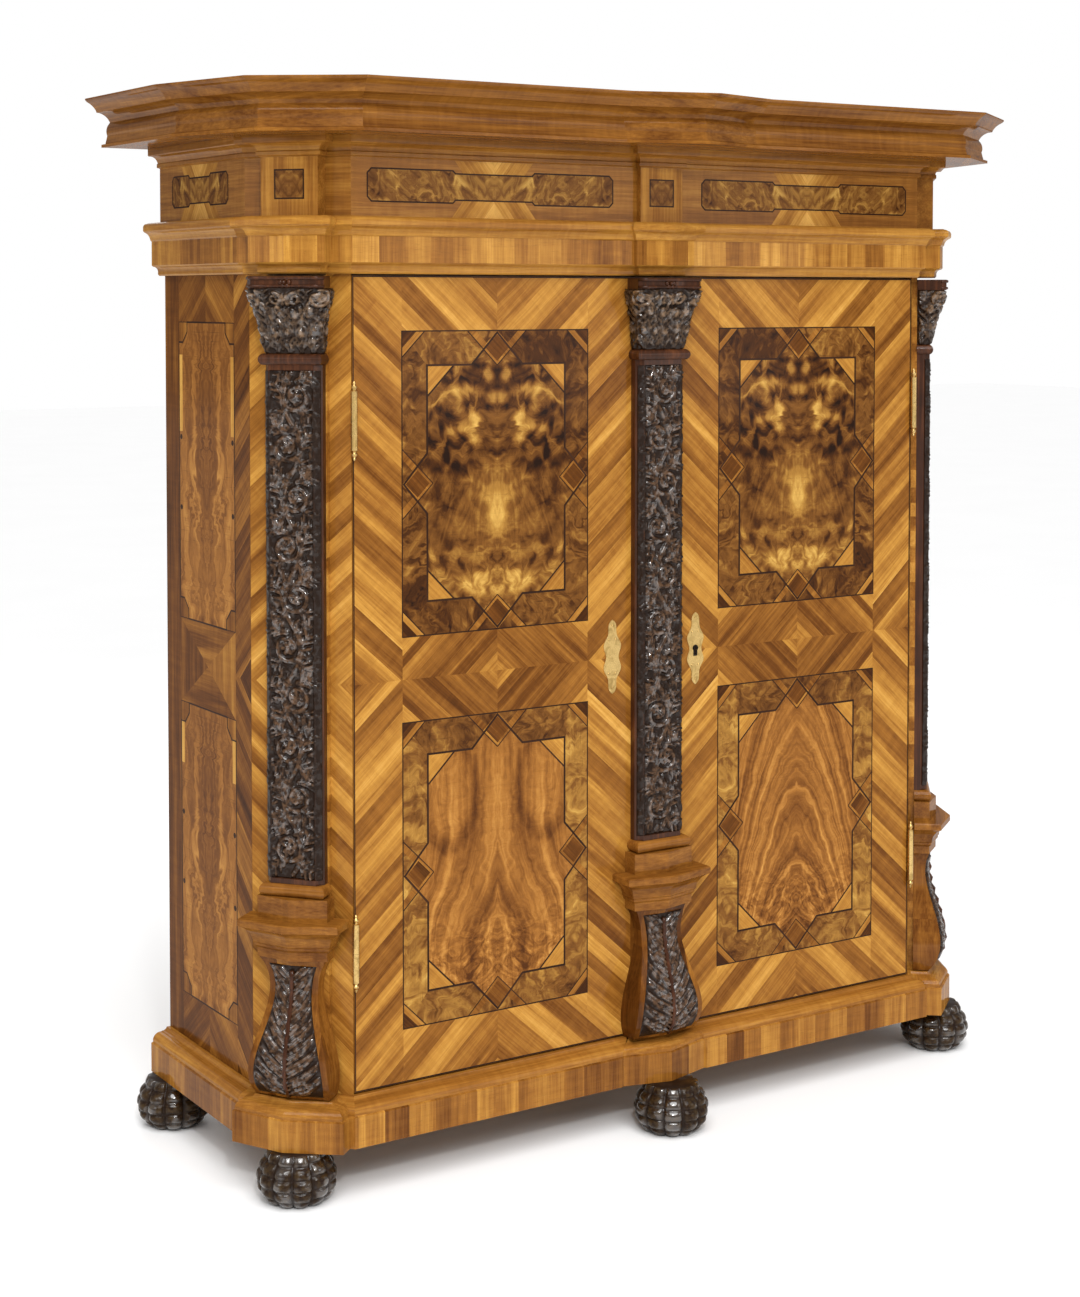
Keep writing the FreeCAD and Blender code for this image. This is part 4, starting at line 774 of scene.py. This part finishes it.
class Relief:  # carved heights in mm over a grid of points
    def __init__(self, x, z):
        self.x = x
        self.z = z
        self.height = np.zeros(x.shape)

    def rows(self, low, high):
        levels = self.z[:, 0]
        return slice(int(np.searchsorted(levels, low)), int(np.searchsorted(levels, high)))

    def stroke(self, path, radii, peak, cut=False):
        for index in range(len(path) - 1):
            (startX, startZ), (endX, endZ) = path[index], path[index + 1]
            first, last = radii[index], radii[index + 1]
            wide = max(first, last)
            part = self.rows(min(startZ, endZ) - wide, max(startZ, endZ) + wide)
            x, z = self.x[part] - startX, self.z[part] - startZ
            runX, runZ = endX - startX, endZ - startZ
            share = np.clip((x * runX + z * runZ) / max(runX ** 2 + runZ ** 2, 1e-6), 0, 1)
            away = np.hypot(x - share * runX, z - share * runZ) / (first + share * (last - first))
            dome = peak * np.sqrt(np.clip(1 - away ** 2, 0, 1))
            if cut:
                self.height[part] -= np.minimum(dome, self.height[part] * 0.6)
            else:
                self.height[part] = np.maximum(self.height[part], dome)

    def leaf(self, start, end, bend, width, peak, lobes):
        run = (end[0] - start[0], end[1] - start[1])
        long = math.hypot(*run)
        side = (-run[1] / long, run[0] / long)
        count = lobes * 2
        rib = []
        for step in range(count + 1):
            share = step / count
            sway = bend * math.sin(math.pi * share)
            rib.append(tuple(start[axis] + run[axis] * share + side[axis] * sway for axis in range(2)))
        self.stroke(rib, [width * (0.30 - 0.18 * step / len(rib)) for step in range(len(rib))], peak * 0.9)
        for step in range(1, count, 2):
            reach = width * (0.35 + 0.5 * math.sin(math.pi * (0.15 + 0.75 * (step / count))))
            lead = 0.9 * reach
            for hand in (-1, 1):
                tip = tuple(rib[step][axis] + side[axis] * hand * reach + run[axis] / long * lead
                            for axis in range(2))
                self.stroke([rib[step], tip], [width * 0.20, width * 0.13], peak)
        self.stroke(rib, [1.3] * len(rib), peak * 0.35, True)

    def scroll(self, centre, angle, radius, turns, sense, thick, peak):
        path = []
        count = int(18 * turns)
        for step in range(count + 1):
            share = step / count
            turn = angle + sense * share * turns * 2 * math.pi
            size = radius * (1 - 0.72 * share)
            path.append((centre[0] + size * math.cos(turn), centre[1] + size * math.sin(turn)))
        self.stroke(path, [thick * (1 - 0.35 * step / count) for step in range(count + 1)], peak)

    def rosette(self, centre, radius, petals, peak, twist=0.0):
        for petal in range(petals):
            turn = twist + petal * 2 * math.pi / petals
            ends = []
            for share in (0.35, 0.72):
                ends.append((centre[0] + share * radius * math.cos(turn),
                             centre[1] + share * radius * math.sin(turn)))
            self.stroke(ends, [radius * 0.22, radius * 0.34], peak * 0.85)
        self.stroke([centre, (centre[0], centre[1] + 0.1)], [radius * 0.32] * 2, peak)


def carvedPiece(name, front, back, height, full, material, body):  # a closed shell of two grids of points
    rows, columns = height.shape
    points = [point for row in front for point in row] + [point for row in back for point in row]
    size = rows * columns
    faces = []
    for row in range(rows - 1):
        for column in range(columns - 1):
            corner = row * columns + column
            loop = (corner, corner + 1, corner + columns + 1, corner + columns)
            faces.append(loop)
            faces.append(tuple(size + index for index in reversed(loop)))
    rim = list(range(columns))
    rim += [row * columns + columns - 1 for row in range(1, rows)]
    rim += [(rows - 1) * columns + column for column in range(columns - 2, -1, -1)]
    rim += [row * columns for row in range(rows - 2, 0, -1)]
    for index, corner in enumerate(rim):
        follow = rim[(index + 1) % len(rim)]
        faces.append((follow, corner, size + corner, size + follow))
    tones = np.concatenate([height.ravel() / full, np.zeros(size)])
    makePiece(name, points, faces, material, body, tones)


def tubeFaces(rings, sides):  # the walls between rings, then the first cap and the last
    faces = []
    for ring in range(rings - 1):
        low = ring * sides
        for step in range(sides):
            follow = (step + 1) % sides
            faces.append((low + step, low + follow, low + sides + follow, low + sides + step))
    faces.append(tuple(range(sides - 1, -1, -1)))
    faces.append(tuple((rings - 1) * sides + step for step in range(sides)))
    return faces


class Carving:  # gathers closed forms into one mesh
    def __init__(self, place):
        self.place = place
        self.points = []
        self.faces = []
        self.tones = []

    def add(self, points, faces, tones):
        start = len(self.points)
        self.points += [self.place @ Vector(point) for point in points]
        self.faces += [tuple(start + index for index in face) for face in faces]
        self.tones += tones

    def sweep(self, path, radius, sides):
        points = []
        path = [Vector(point) for point in path]
        side = None
        for index, point in enumerate(path):
            ahead = (path[min(index + 1, len(path) - 1)] - path[max(index - 1, 0)]).normalized()
            side = side or (Vector((0, 0, 1)) if abs(ahead.z) < 0.9 else Vector((1, 0, 0)))
            side = (side - ahead * side.dot(ahead)).normalized()
            other = ahead.cross(side)
            for step in range(sides):
                turn = 2 * math.pi * step / sides
                points.append(point + (side * math.cos(turn) + other * math.sin(turn)) * radius)
        self.add(points, tubeFaces(len(path), sides), [0.6] * len(points))

    def knob(self, centre, axis, radius, rise, sides=12, rings=5):  # a low dome standing on a face
        centre = Vector(centre)
        axis = Vector(axis).normalized()
        side = axis.orthogonal().normalized()
        other = axis.cross(side)
        points = []
        for ring in range(rings):
            lift = math.sin(math.pi / 2 * ring / rings)
            size = math.cos(math.pi / 2 * ring / rings)
            for step in range(sides):
                turn = 2 * math.pi * step / sides
                way = side * math.cos(turn) + other * math.sin(turn)
                points.append(centre + axis * rise * lift + way * radius * size)
        points.append(centre + axis * rise)
        last = (rings - 1) * sides
        tube = tubeFaces(rings, sides)
        faces = [tube[-2]] + tube[:-2]
        faces += [(last + step, last + (step + 1) % sides, rings * sides) for step in range(sides)]
        self.add(points, faces, [0.8] * len(points))

    def finish(self, name, material, body, slotName):
        return makePiece(name, self.points, self.faces, material, body, self.tones)


shaftLook = {"half": 58.5, "low": 624.5, "high": 1617.5, "columns": 61, "rows": 440, "wave": 98,
             "edge": 48.1, "section": [(0, 26.15), (43.3, 26.15), (45.7, 30.3), (48.1, 30.3), (58.5, 19.9)],
             "share": [(0, 1.25), (44.0, 1.25), (46.0, 0.25), (48.0, 0.25), (50.0, 0.7), (57.0, 0.6),
                       (58.5, 0.0)],
             "seeds": {"Left": 3, "Centre": 8, "Right": 13}, "ground": 520, "full": 7.0,
             "leaves": [((16, -8), (38, 30), 5, (21, 25), 5.6, 3),
                        ((12, -22), (40, -40), -5, (19, 23), 5.4, 3),
                        ((-12, 34), (-40, 48), 4, (19, 23), 5.8, 3),
                        ((-22, -18), (-42, -34), 3, (16, 20), 5.2, 2),
                        ((4, 30), (26, 54), -4, (15, 18), 4.8, 2)]}  # foot, tip, bend, widths, peak, lobes


def carveShaft(word):  # a scrolling vine across the field and the chamfers
    look = shaftLook
    place, body = standing(word)
    low, high, wave = look["low"], look["high"], look["wave"]
    x, z = np.meshgrid(np.linspace(-look["half"], look["half"], look["columns"]),
                       np.linspace(low, high, look["rows"]))
    relief = Relief(x, z)
    picks = random.Random(look["seeds"][word])
    for spare in range(look["ground"]):  # close small leaves cover the ground
        spot = (picks.uniform(-57, 57), picks.uniform(low + 3, high - 12))
        turn = picks.uniform(0.2, math.pi - 0.2)
        long = picks.uniform(7, 14)
        tip = (spot[0] + long * math.cos(turn), spot[1] + long * math.sin(turn))
        relief.stroke([spot, tip], [5.0, 2.6], picks.uniform(1.8, 4.4))
    count = int((high - low) / wave)
    first = low + 8
    stem = [(20 * math.sin(math.pi * step / 12), first + wave * step / 12) for step in range(count * 12 + 1)]
    relief.stroke(stem, [5.8] * len(stem), 4.8)
    for turn in range(count):
        side = 1 if turn % 2 == 0 else -1
        level = first + wave * (turn + 0.5)
        heart = (-side * 9, level + 4)
        relief.scroll(heart, -math.pi / 2 + side * 0.9, 29, 1.2, -side, 5.6, 5.4)
        relief.rosette(heart, picks.uniform(14, 17), picks.choice((5, 6)), 6.8, picks.uniform(0, 1))
        for foot, tip, bend, widths, peak, lobes in look["leaves"]:
            start, end = mirrored((foot, tip), (side, 1), (0, level))
            relief.leaf(start, end, side * bend, picks.uniform(*widths), peak, lobes)
    away = np.abs(x)
    height = relief.height * np.interp(away, *zip(*look["share"]))
    height += np.random.default_rng(7).normal(0, 0.08, height.shape)
    base = np.interp(away, *zip(*look["section"]))
    slanted = away > look["edge"]
    outX = x + np.sign(x) * np.where(slanted, 0.7, 0.0) * height
    outY = -base - np.where(slanted, 0.7, 1.0) * height
    front = [[place @ Vector(spot) for spot in zip(*row)] for row in zip(outX, outY, z)]
    back = [[place @ Vector(spot) for spot in zip(*row)] for row in zip(x * 0.97, 1.6 - base, z)]
    carvedPiece("shaftVine" + word, front, back, height, look["full"], ebony, body)


pedestalLook = {"low": 203.0, "high": 456.0, "margin": 12.0, "columns": 45, "rows": 120, "leaves": 9,
                "step": 27, "foot": 195.5, "tall": 273, "vase": ((0, 0.2, 0.83, 1), (78, 84, 52, 70)),
                "full": 6.4, "rib": 0.0046}


def carvePedestal(word):
    look = pedestalLook
    place, body = standing(word)
    mesh = nodes["pedestal_" + word.lower()].data
    tree = BVHTree.FromPolygons([vertex.co for vertex in mesh.vertices],
                                [face.vertices[:] for face in mesh.polygons])
    shares = np.linspace(0, 1, look["rows"])
    levels = look["low"] + shares * (look["high"] - look["low"])
    outline = np.polyfit(*look["vase"], 3)
    halves = np.polyval(outline, (levels - look["foot"]) / look["tall"]) - look["margin"]
    across = np.linspace(-1, 1, look["columns"])
    x = across[None, :] * halves[:, None]
    z = np.repeat(levels[:, None], look["columns"], axis=1)
    relief = Relief(x, z)
    for side in (-1, 1):
        for step in range(look["leaves"]):
            level = look["low"] + 2 + step * look["step"]
            long = float(np.interp(level + 30, levels, halves)) - 7
            blade = [(side * 4, level), (side * (4 + long * 0.55), level + 16),
                     (side * (4 + long), level + 40)]
            relief.stroke(blade, [8.0, 10.5, 7.0], 6.8)
            relief.stroke(blade, [1.6, 1.9, 1.4], 3.4, True)
            relief.stroke([(side * 5, level + 14), (side * (4 + long * 0.5), level + 34)], [3.2, 4.2], 7.6)
        relief.scroll((side * 34, look["low"] + 22), math.pi / 2, 20, 1.4, side, 5.0, 6.6)
    edge = np.clip((1 - np.abs(across)) / 0.07, 0, 1)[None, :]
    ends = np.clip(np.minimum(shares, 1 - shares) / 0.02, 0, 1)[:, None]
    height = relief.height * edge * ends
    inward = place.to_3x3() @ Vector((0, 1, 0))  # one millimetre into the pedestal
    front = []
    back = []
    for rowX, rowZ, rises in zip(x, z, height):
        hits = []
        for spot, level in zip(rowX, rowZ):
            hit = tree.ray_cast(place @ Vector((spot, -300, level)), inward.normalized())[0]
            hits.append(hit or place @ Vector((spot, -30, level)))
        front.append([hit - inward * (rise + 0.25) for hit, rise in zip(hits, rises)])
        back.append([hit + inward * 2.0 for hit in hits])
    carvedPiece("pedestalLeaves" + word, front, back, height, look["full"], ebony, body)
    rib = Carving(Matrix.Identity(4))
    rib.sweep([row[look["columns"] // 2] - inward * 1.5 for row in front[::6]], look["rib"], 10)
    rib.finish("pedestalRib" + word, flank, body, "walnut")


capitalLook = {"low": 1650, "high": 1777, "columns": 113, "rows": 64, "corner": 16, "half": 100, "buds": 80,
               "growth": [(0, 59, 30), (40, 62, 36), (80, 67, 47), (110, 74, 57), (127, 77, 61)],
               "seeds": {"Left": 19, "Centre": 23, "Right": 29}, "beads": ((1781, 3.0), (1796.5, 3.6)),
               "full": 13.0, "flower": 1788.5,  # rings: spots, foot, reach, sway and sizes of the leaves
               "rings": [((-88, -59, -30, 0, 30, 59, 88), 1, (36, 43), 3, 25, 6.5, 7, [9.5, 6.5], 11.5),
                         ((-74, -44.5, -15, 15, 44.5, 74), 34, (74, 82), 4, 26, 7.5, 8, [10.0, 7.0], 13.0)]}


def aroundBell(share, half, depth, corner):  # spot and outward way on the three free sides of the bell
    sides = [depth - corner, corner * math.pi / 2, 2 * (half - corner), corner * math.pi / 2, depth - corner]
    run = share * sum(sides)
    if run <= sides[0]:
        return (-half, -run), (-1, 0)
    run -= sides[0]
    if run <= sides[1]:
        way = (-math.cos(run / corner), -math.sin(run / corner))
        return (corner - half + corner * way[0], corner - depth + corner * way[1]), way
    run -= sides[1]
    if run <= sides[2]:
        return (corner - half + run, -depth), (0, -1)
    run -= sides[2]
    if run <= sides[3]:
        way = (math.sin(run / corner), -math.cos(run / corner))
        return (half - corner + corner * way[0], corner - depth + corner * way[1]), way
    return (half, run - sides[3] + corner - depth), (1, 0)


def carveCapital(word):
    look = capitalLook
    place, body = standing(word)
    low, high, wide = look["low"], look["high"], look["half"]
    x, z = np.meshgrid(np.linspace(-wide, wide, look["columns"]), np.linspace(low, high, look["rows"]))
    relief = Relief(x, z)
    picks = random.Random(look["seeds"][word])
    for spots, foot, reach, sway, width, peak, curl, radii, top in look["rings"]:
        for spot in spots:
            tip = (spot + picks.uniform(-3, 3), low + picks.uniform(*reach))
            relief.leaf((spot, low + foot), tip, picks.uniform(-sway, sway), width, peak, 3)
            relief.stroke([tip, (tip[0] + picks.uniform(-3, 3), tip[1] + curl)], radii, top)
    for side in (-1, 1):
        stalk = [(side * 30, low + 60), (side * 38, low + 92), (side * 52, low + 108)]
        relief.stroke(stalk, [4.0, 4.5, 5.0], 10.0)
        relief.scroll((side * 57, low + 106), math.pi / 2, 17, 1.5, -side, 5.0, 13.5)
        relief.scroll((side * 17, low + 106), math.pi / 2, 12, 1.3, side, 4.2, 11.0)
        relief.rosette((side * 57, low + 106), 7, 5, 15.0)
        relief.leaf((side * 84, low + 84), (side * 84, low + 122), 0, 22, 8.5, 4)
        relief.leaf((side * 36, low + 88), (side * 36, low + 122), 0, 14, 8.0, 3)
    relief.rosette((0, low + 104), 12, 6, 14.0)
    for spare in range(look["buds"]):  # small buds between the leaves
        spot = (picks.uniform(-98, 98), picks.uniform(low + 6, high - 8))
        tip = (spot[0] + picks.uniform(-6, 6), spot[1] + 7)
        relief.stroke([spot, tip], [4.8, 3.2], picks.uniform(5, 10.5))
    ends = np.clip(np.minimum(z - low, high - z) / 4.0, 0, 1) * np.clip((wide - np.abs(x)) / 4.0, 0, 1)
    height = relief.height * ends
    levels, halves, depths = zip(*look["growth"])
    front = []
    back = []
    for rowX, level, rises in zip(x, z[:, 0], height * 0.8):
        half = float(np.interp(level - low, levels, halves))
        depth = float(np.interp(level - low, levels, depths))
        front.append([])
        back.append([])
        for across, rise in zip(rowX, rises):
            spot, way = aroundBell((across + wide) / (2 * wide), half, depth, look["corner"])
            for row, reach, limit in ((front[-1], rise, -0.6), (back[-1], -6, -0.4)):
                y = min(limit, spot[1] + way[1] * reach)
                row.append(place @ Vector((spot[0] + way[0] * reach, y, level)))
    carvedPiece("capitalLeaves" + word, front, back, height, look["full"], crownEbony, body)
    beads = Carving(place)
    for level, size in look["beads"]:
        curve = [(-80, -53, level)]
        for step in range(-12, 13):
            curve.append((68 * step / 12, -56 - 10 * (step / 12) ** 2 - 0.4 * size, level))
        beads.sweep(curve + [(80, -53, level)], size, 8)
    for petal in range(6):
        side, up = math.cos(petal * math.pi / 3), math.sin(petal * math.pi / 3)
        beads.knob((9 * side, -55, look["flower"] + 8 * up), (0.5 * side, -1, 0.4 * up), 5.5, 6.0)
    beads.knob((0, -57, look["flower"]), (0, -1, 0), 4.6, 7.5)
    beads.finish("abacusBeads" + word, flank, body, "dark_carving")


footLook = {"toes": 11, "steps": 14, "rings": 64, "joints": [-8, 17, 40, 64, 86, 118], "rise": 11.0,
            "sunk": 8.5,
            "profile": [(0, 42), (5, 54), (14, 66), (28, 74), (45, 78), (62, 76), (78, 69), (92, 61),
                        (102.5, 54)],
            "rear": (872, 48)}  # rear feet: how far out, and how far before the back


def carveFoot(carving, centre, heading, backLimit=math.inf):  # jointed toes down a rounded paw
    steps = footLook["steps"]
    around = footLook["toes"] * steps
    joints = footLook["joints"]
    heights, sizes = zip(*footLook["profile"])
    points = []
    tones = []
    for level in np.linspace(0, heights[-1], footLook["rings"]):
        size = float(np.interp(level, heights, sizes))
        for step in range(around):
            shifted = level + random.Random(step // steps * 13 + 5).uniform(-5, 5)
            row = sum(1 for joint in joints[1:-1] if shifted > joint)
            upright = (shifted - joints[row]) / (joints[row + 1] - joints[row]) * 2 - 1
            across = (step % steps) / steps * 2 - 1
            rib = math.sqrt(max(0.0, 1 - abs(across) ** 2.2))
            joint = math.sqrt(max(0.0, 1 - 0.97 * abs(upright) ** 2.2))
            knuckle = rib * (0.18 + 0.82 * joint)
            radius = size - footLook["sunk"] + footLook["rise"] * knuckle
            angle = heading + 2 * math.pi * (step + steps / 2) / around
            y = min(centre[1] + radius * math.sin(angle), backLimit)
            points.append((centre[0] + radius * math.cos(angle), y, level))
            tones.append(0.1 + 0.9 * knuckle)
    carving.add(points, tubeFaces(footLook["rings"], around), tones)


def carveFeet():
    front, rear = [Carving(Matrix.Scale(0.001, 4)) for spare in range(2)]
    spots = [vertex.co for vertex in nodes["front_feet"].data.vertices]
    for low, high, turn in ((-2.0, -0.5, -cant), (-0.5, 0.5, 0.0), (0.5, 2.0, cant)):
        foot = [spot for spot in spots if low < spot.x < high and spot.z > 0.1]
        middle = sum((Vector(spot) for spot in foot), Vector()) / len(foot) * 1000
        carveFoot(front, (middle.x, middle.y), turn - math.pi / 2)
    across, inset = footLook["rear"]
    for side, heading in ((-1, math.pi), (1, 0.0)):
        carveFoot(rear, (side * across, backPlane * 1000 - inset), heading, backPlane * 1000 - 0.1)
    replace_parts(front.finish("frontPaws", paw, "carcass", "paw_feet"), "front_feet")
    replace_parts(rear.finish("rearPaws", paw, "carcass", "paw_feet"), "rear_feet")


plateLook = {"nails": ((0, 0.066), (0, -0.066), (0.0085, 0.036), (-0.0085, 0.036), (0.0085, -0.036),
                       (-0.0085, -0.036)),
             "nail": (0.0026, 0.0016), "screw": (0.0034, 0.0014),
             "keyhole": [(3.75, -15), (3.75, -4.9), (6.0, 0), (4.3, 4.3), (0, 6.0)],
             "screwed": (("lock_case", "right_door", 0.010), ("lock_keeper", "left_door", 0.006))}


def pinPlates():  # nails in the plates, a near-black ring laid round the keyhole as its painted shade, screws in the lock and its keeper
    look = plateLook
    for word in ("left", "right"):
        body = word + "_door"
        low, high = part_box("escutcheon_" + word)
        middle = ((low[0] + high[0]) / 2, (low[2] + high[2]) / 2)
        nails = Carving(Matrix.Identity(4))
        for x, z in look["nails"]:
            nails.knob((middle[0] + x, low[1] - 0.0001, middle[1] + z), (0, -1, 0), *look["nail"])
        nails.finish("plateNails_" + word, brass, body, "brass")
        if word == "right":
            holeShade = Sheet((middle[0], low[1], middle[1]), (1, 0, 0), (0, -1, 0))
            # a near-black ring on the plate round the keyhole: painted shade of the keyhole
            half = look["keyhole"]
            holeShade.string(half + [(-x, z) for x, z in half[-2::-1]], 3.0, 0.4, True, 0.1)
            holeShade.finish("keyholeShadeRing", keyholeShadeIron, body, "iron")
    for node, body, inset in look["screwed"]:
        low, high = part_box(node)
        screws = Carving(Matrix.Identity(4))
        for x in (low[0] + inset, high[0] - inset):
            for z in (low[2] + inset, high[2] - inset):
                screws.knob((x, high[1] + 0.0001, z), (0, 1, 0), *look["screw"])
        screws.finish(node + "Screws", iron, body, "iron")


for word in pilasters:
    carveShaft(word)
    carvePedestal(word)
    carveCapital(word)
print("pilasters carved")
carveFeet()
pinPlates()
print("feet carved, plates pinned")

seen = {"camera": (-2.7308, doorPlane - 3.818, 1.7565), "yaw": 32.615, "pitch": 2.4, "lens": 61.58,
        "shift": -0.1979}
studio = {"world": 0.45, "backdrop": 1.0, "sky": 2.65, "skyAngle": 50, "skyWay": (0.25, 0.55, -0.8),
          "floor": 30}
lamps = {"keyFront": ((-1.4, -4.4, 3.4), (0.0, -0.1, 1.1), 1.6, 16),
         "fillRight": ((2.6, -4.4, 2.2), (0.2, 0, 1.0), 2.0, 20),
         "sideLeft": ((-4.6, -0.4, 2.6), (-0.6, 0.0, 1.0), 1.6, 12),
         "sparkle": ((-2.4, -4.0, 3.3), (-0.2, -0.2, 1.2), 0.28, 60),
         "rear": ((1.5, 4.5, 3.2), (0, 0.3, 1.0), 3.0, 50)}  # place, target, size and watts


def addObject(name, data):
    made = bpy.data.objects.new(name, data)
    scene.collection.objects.link(made)
    return made


def addLight(name, kind, power, way):
    light = bpy.data.lights.new(name, kind)
    light.energy = power
    made = addObject(name, light)
    made.rotation_euler = Vector(way).to_track_quat("-Z", "Y").to_euler()
    return made


cameraData = bpy.data.cameras.new("viewpoint")
cameraData.lens = seen["lens"]
cameraData.sensor_width = 36
cameraData.shift_y = seen["shift"]
cameraData.clip_end = 60
camera = addObject("viewpoint", cameraData)
camera.location = seen["camera"]
camera.rotation_euler = (math.radians(90 - seen["pitch"]), 0, -math.radians(seen["yaw"]))
scene.camera = camera
scene.view_settings.view_transform = "Standard"

floorFinish = Finish("paleFloor", {"Roughness": 0.6})
patch = floorFinish.noise(floorFinish.place(), 1.5, 2.0)
floorFinish.show(colour=floorFinish.mix(patch, (0.93, 0.93, 0.93), (0.96, 0.96, 0.96)))
floorMesh = bpy.data.meshes.new("floor")
corners = rect(-studio["floor"], -studio["floor"], studio["floor"], studio["floor"])
floorMesh.from_pydata([(x, y, 0) for x, y in corners], [], [(0, 1, 2, 3)])
floorMesh.materials.append(floorFinish.material)
floor = addObject("floor", floorMesh)

world = bpy.data.worlds.new("studio")
world.use_nodes = True
backdrop = world.node_tree.nodes["Background"]
backdrop.inputs["Color"].default_value = (1, 1, 1, 1)
rays = world.node_tree.nodes.new("ShaderNodeLightPath")
level = world.node_tree.nodes.new("ShaderNodeMapRange")  # the backdrop itself stays white
level.inputs["To Min"].default_value = studio["world"]
level.inputs["To Max"].default_value = studio["backdrop"]
world.node_tree.links.new(rays.outputs["Is Camera Ray"], level.inputs["Value"])
world.node_tree.links.new(level.outputs["Result"], backdrop.inputs["Strength"])
scene.world = world
sun = addLight("softSky", "SUN", studio["sky"], studio["skyWay"])
sun.data.angle = math.radians(studio["skyAngle"])
for name, (spot, target, size, power) in lamps.items():
    lamp = addLight(name, "AREA", power, Vector(target) - Vector(spot))
    lamp.data.shape = "SQUARE"
    lamp.data.size = size
    lamp.location = spot
print("studio set")
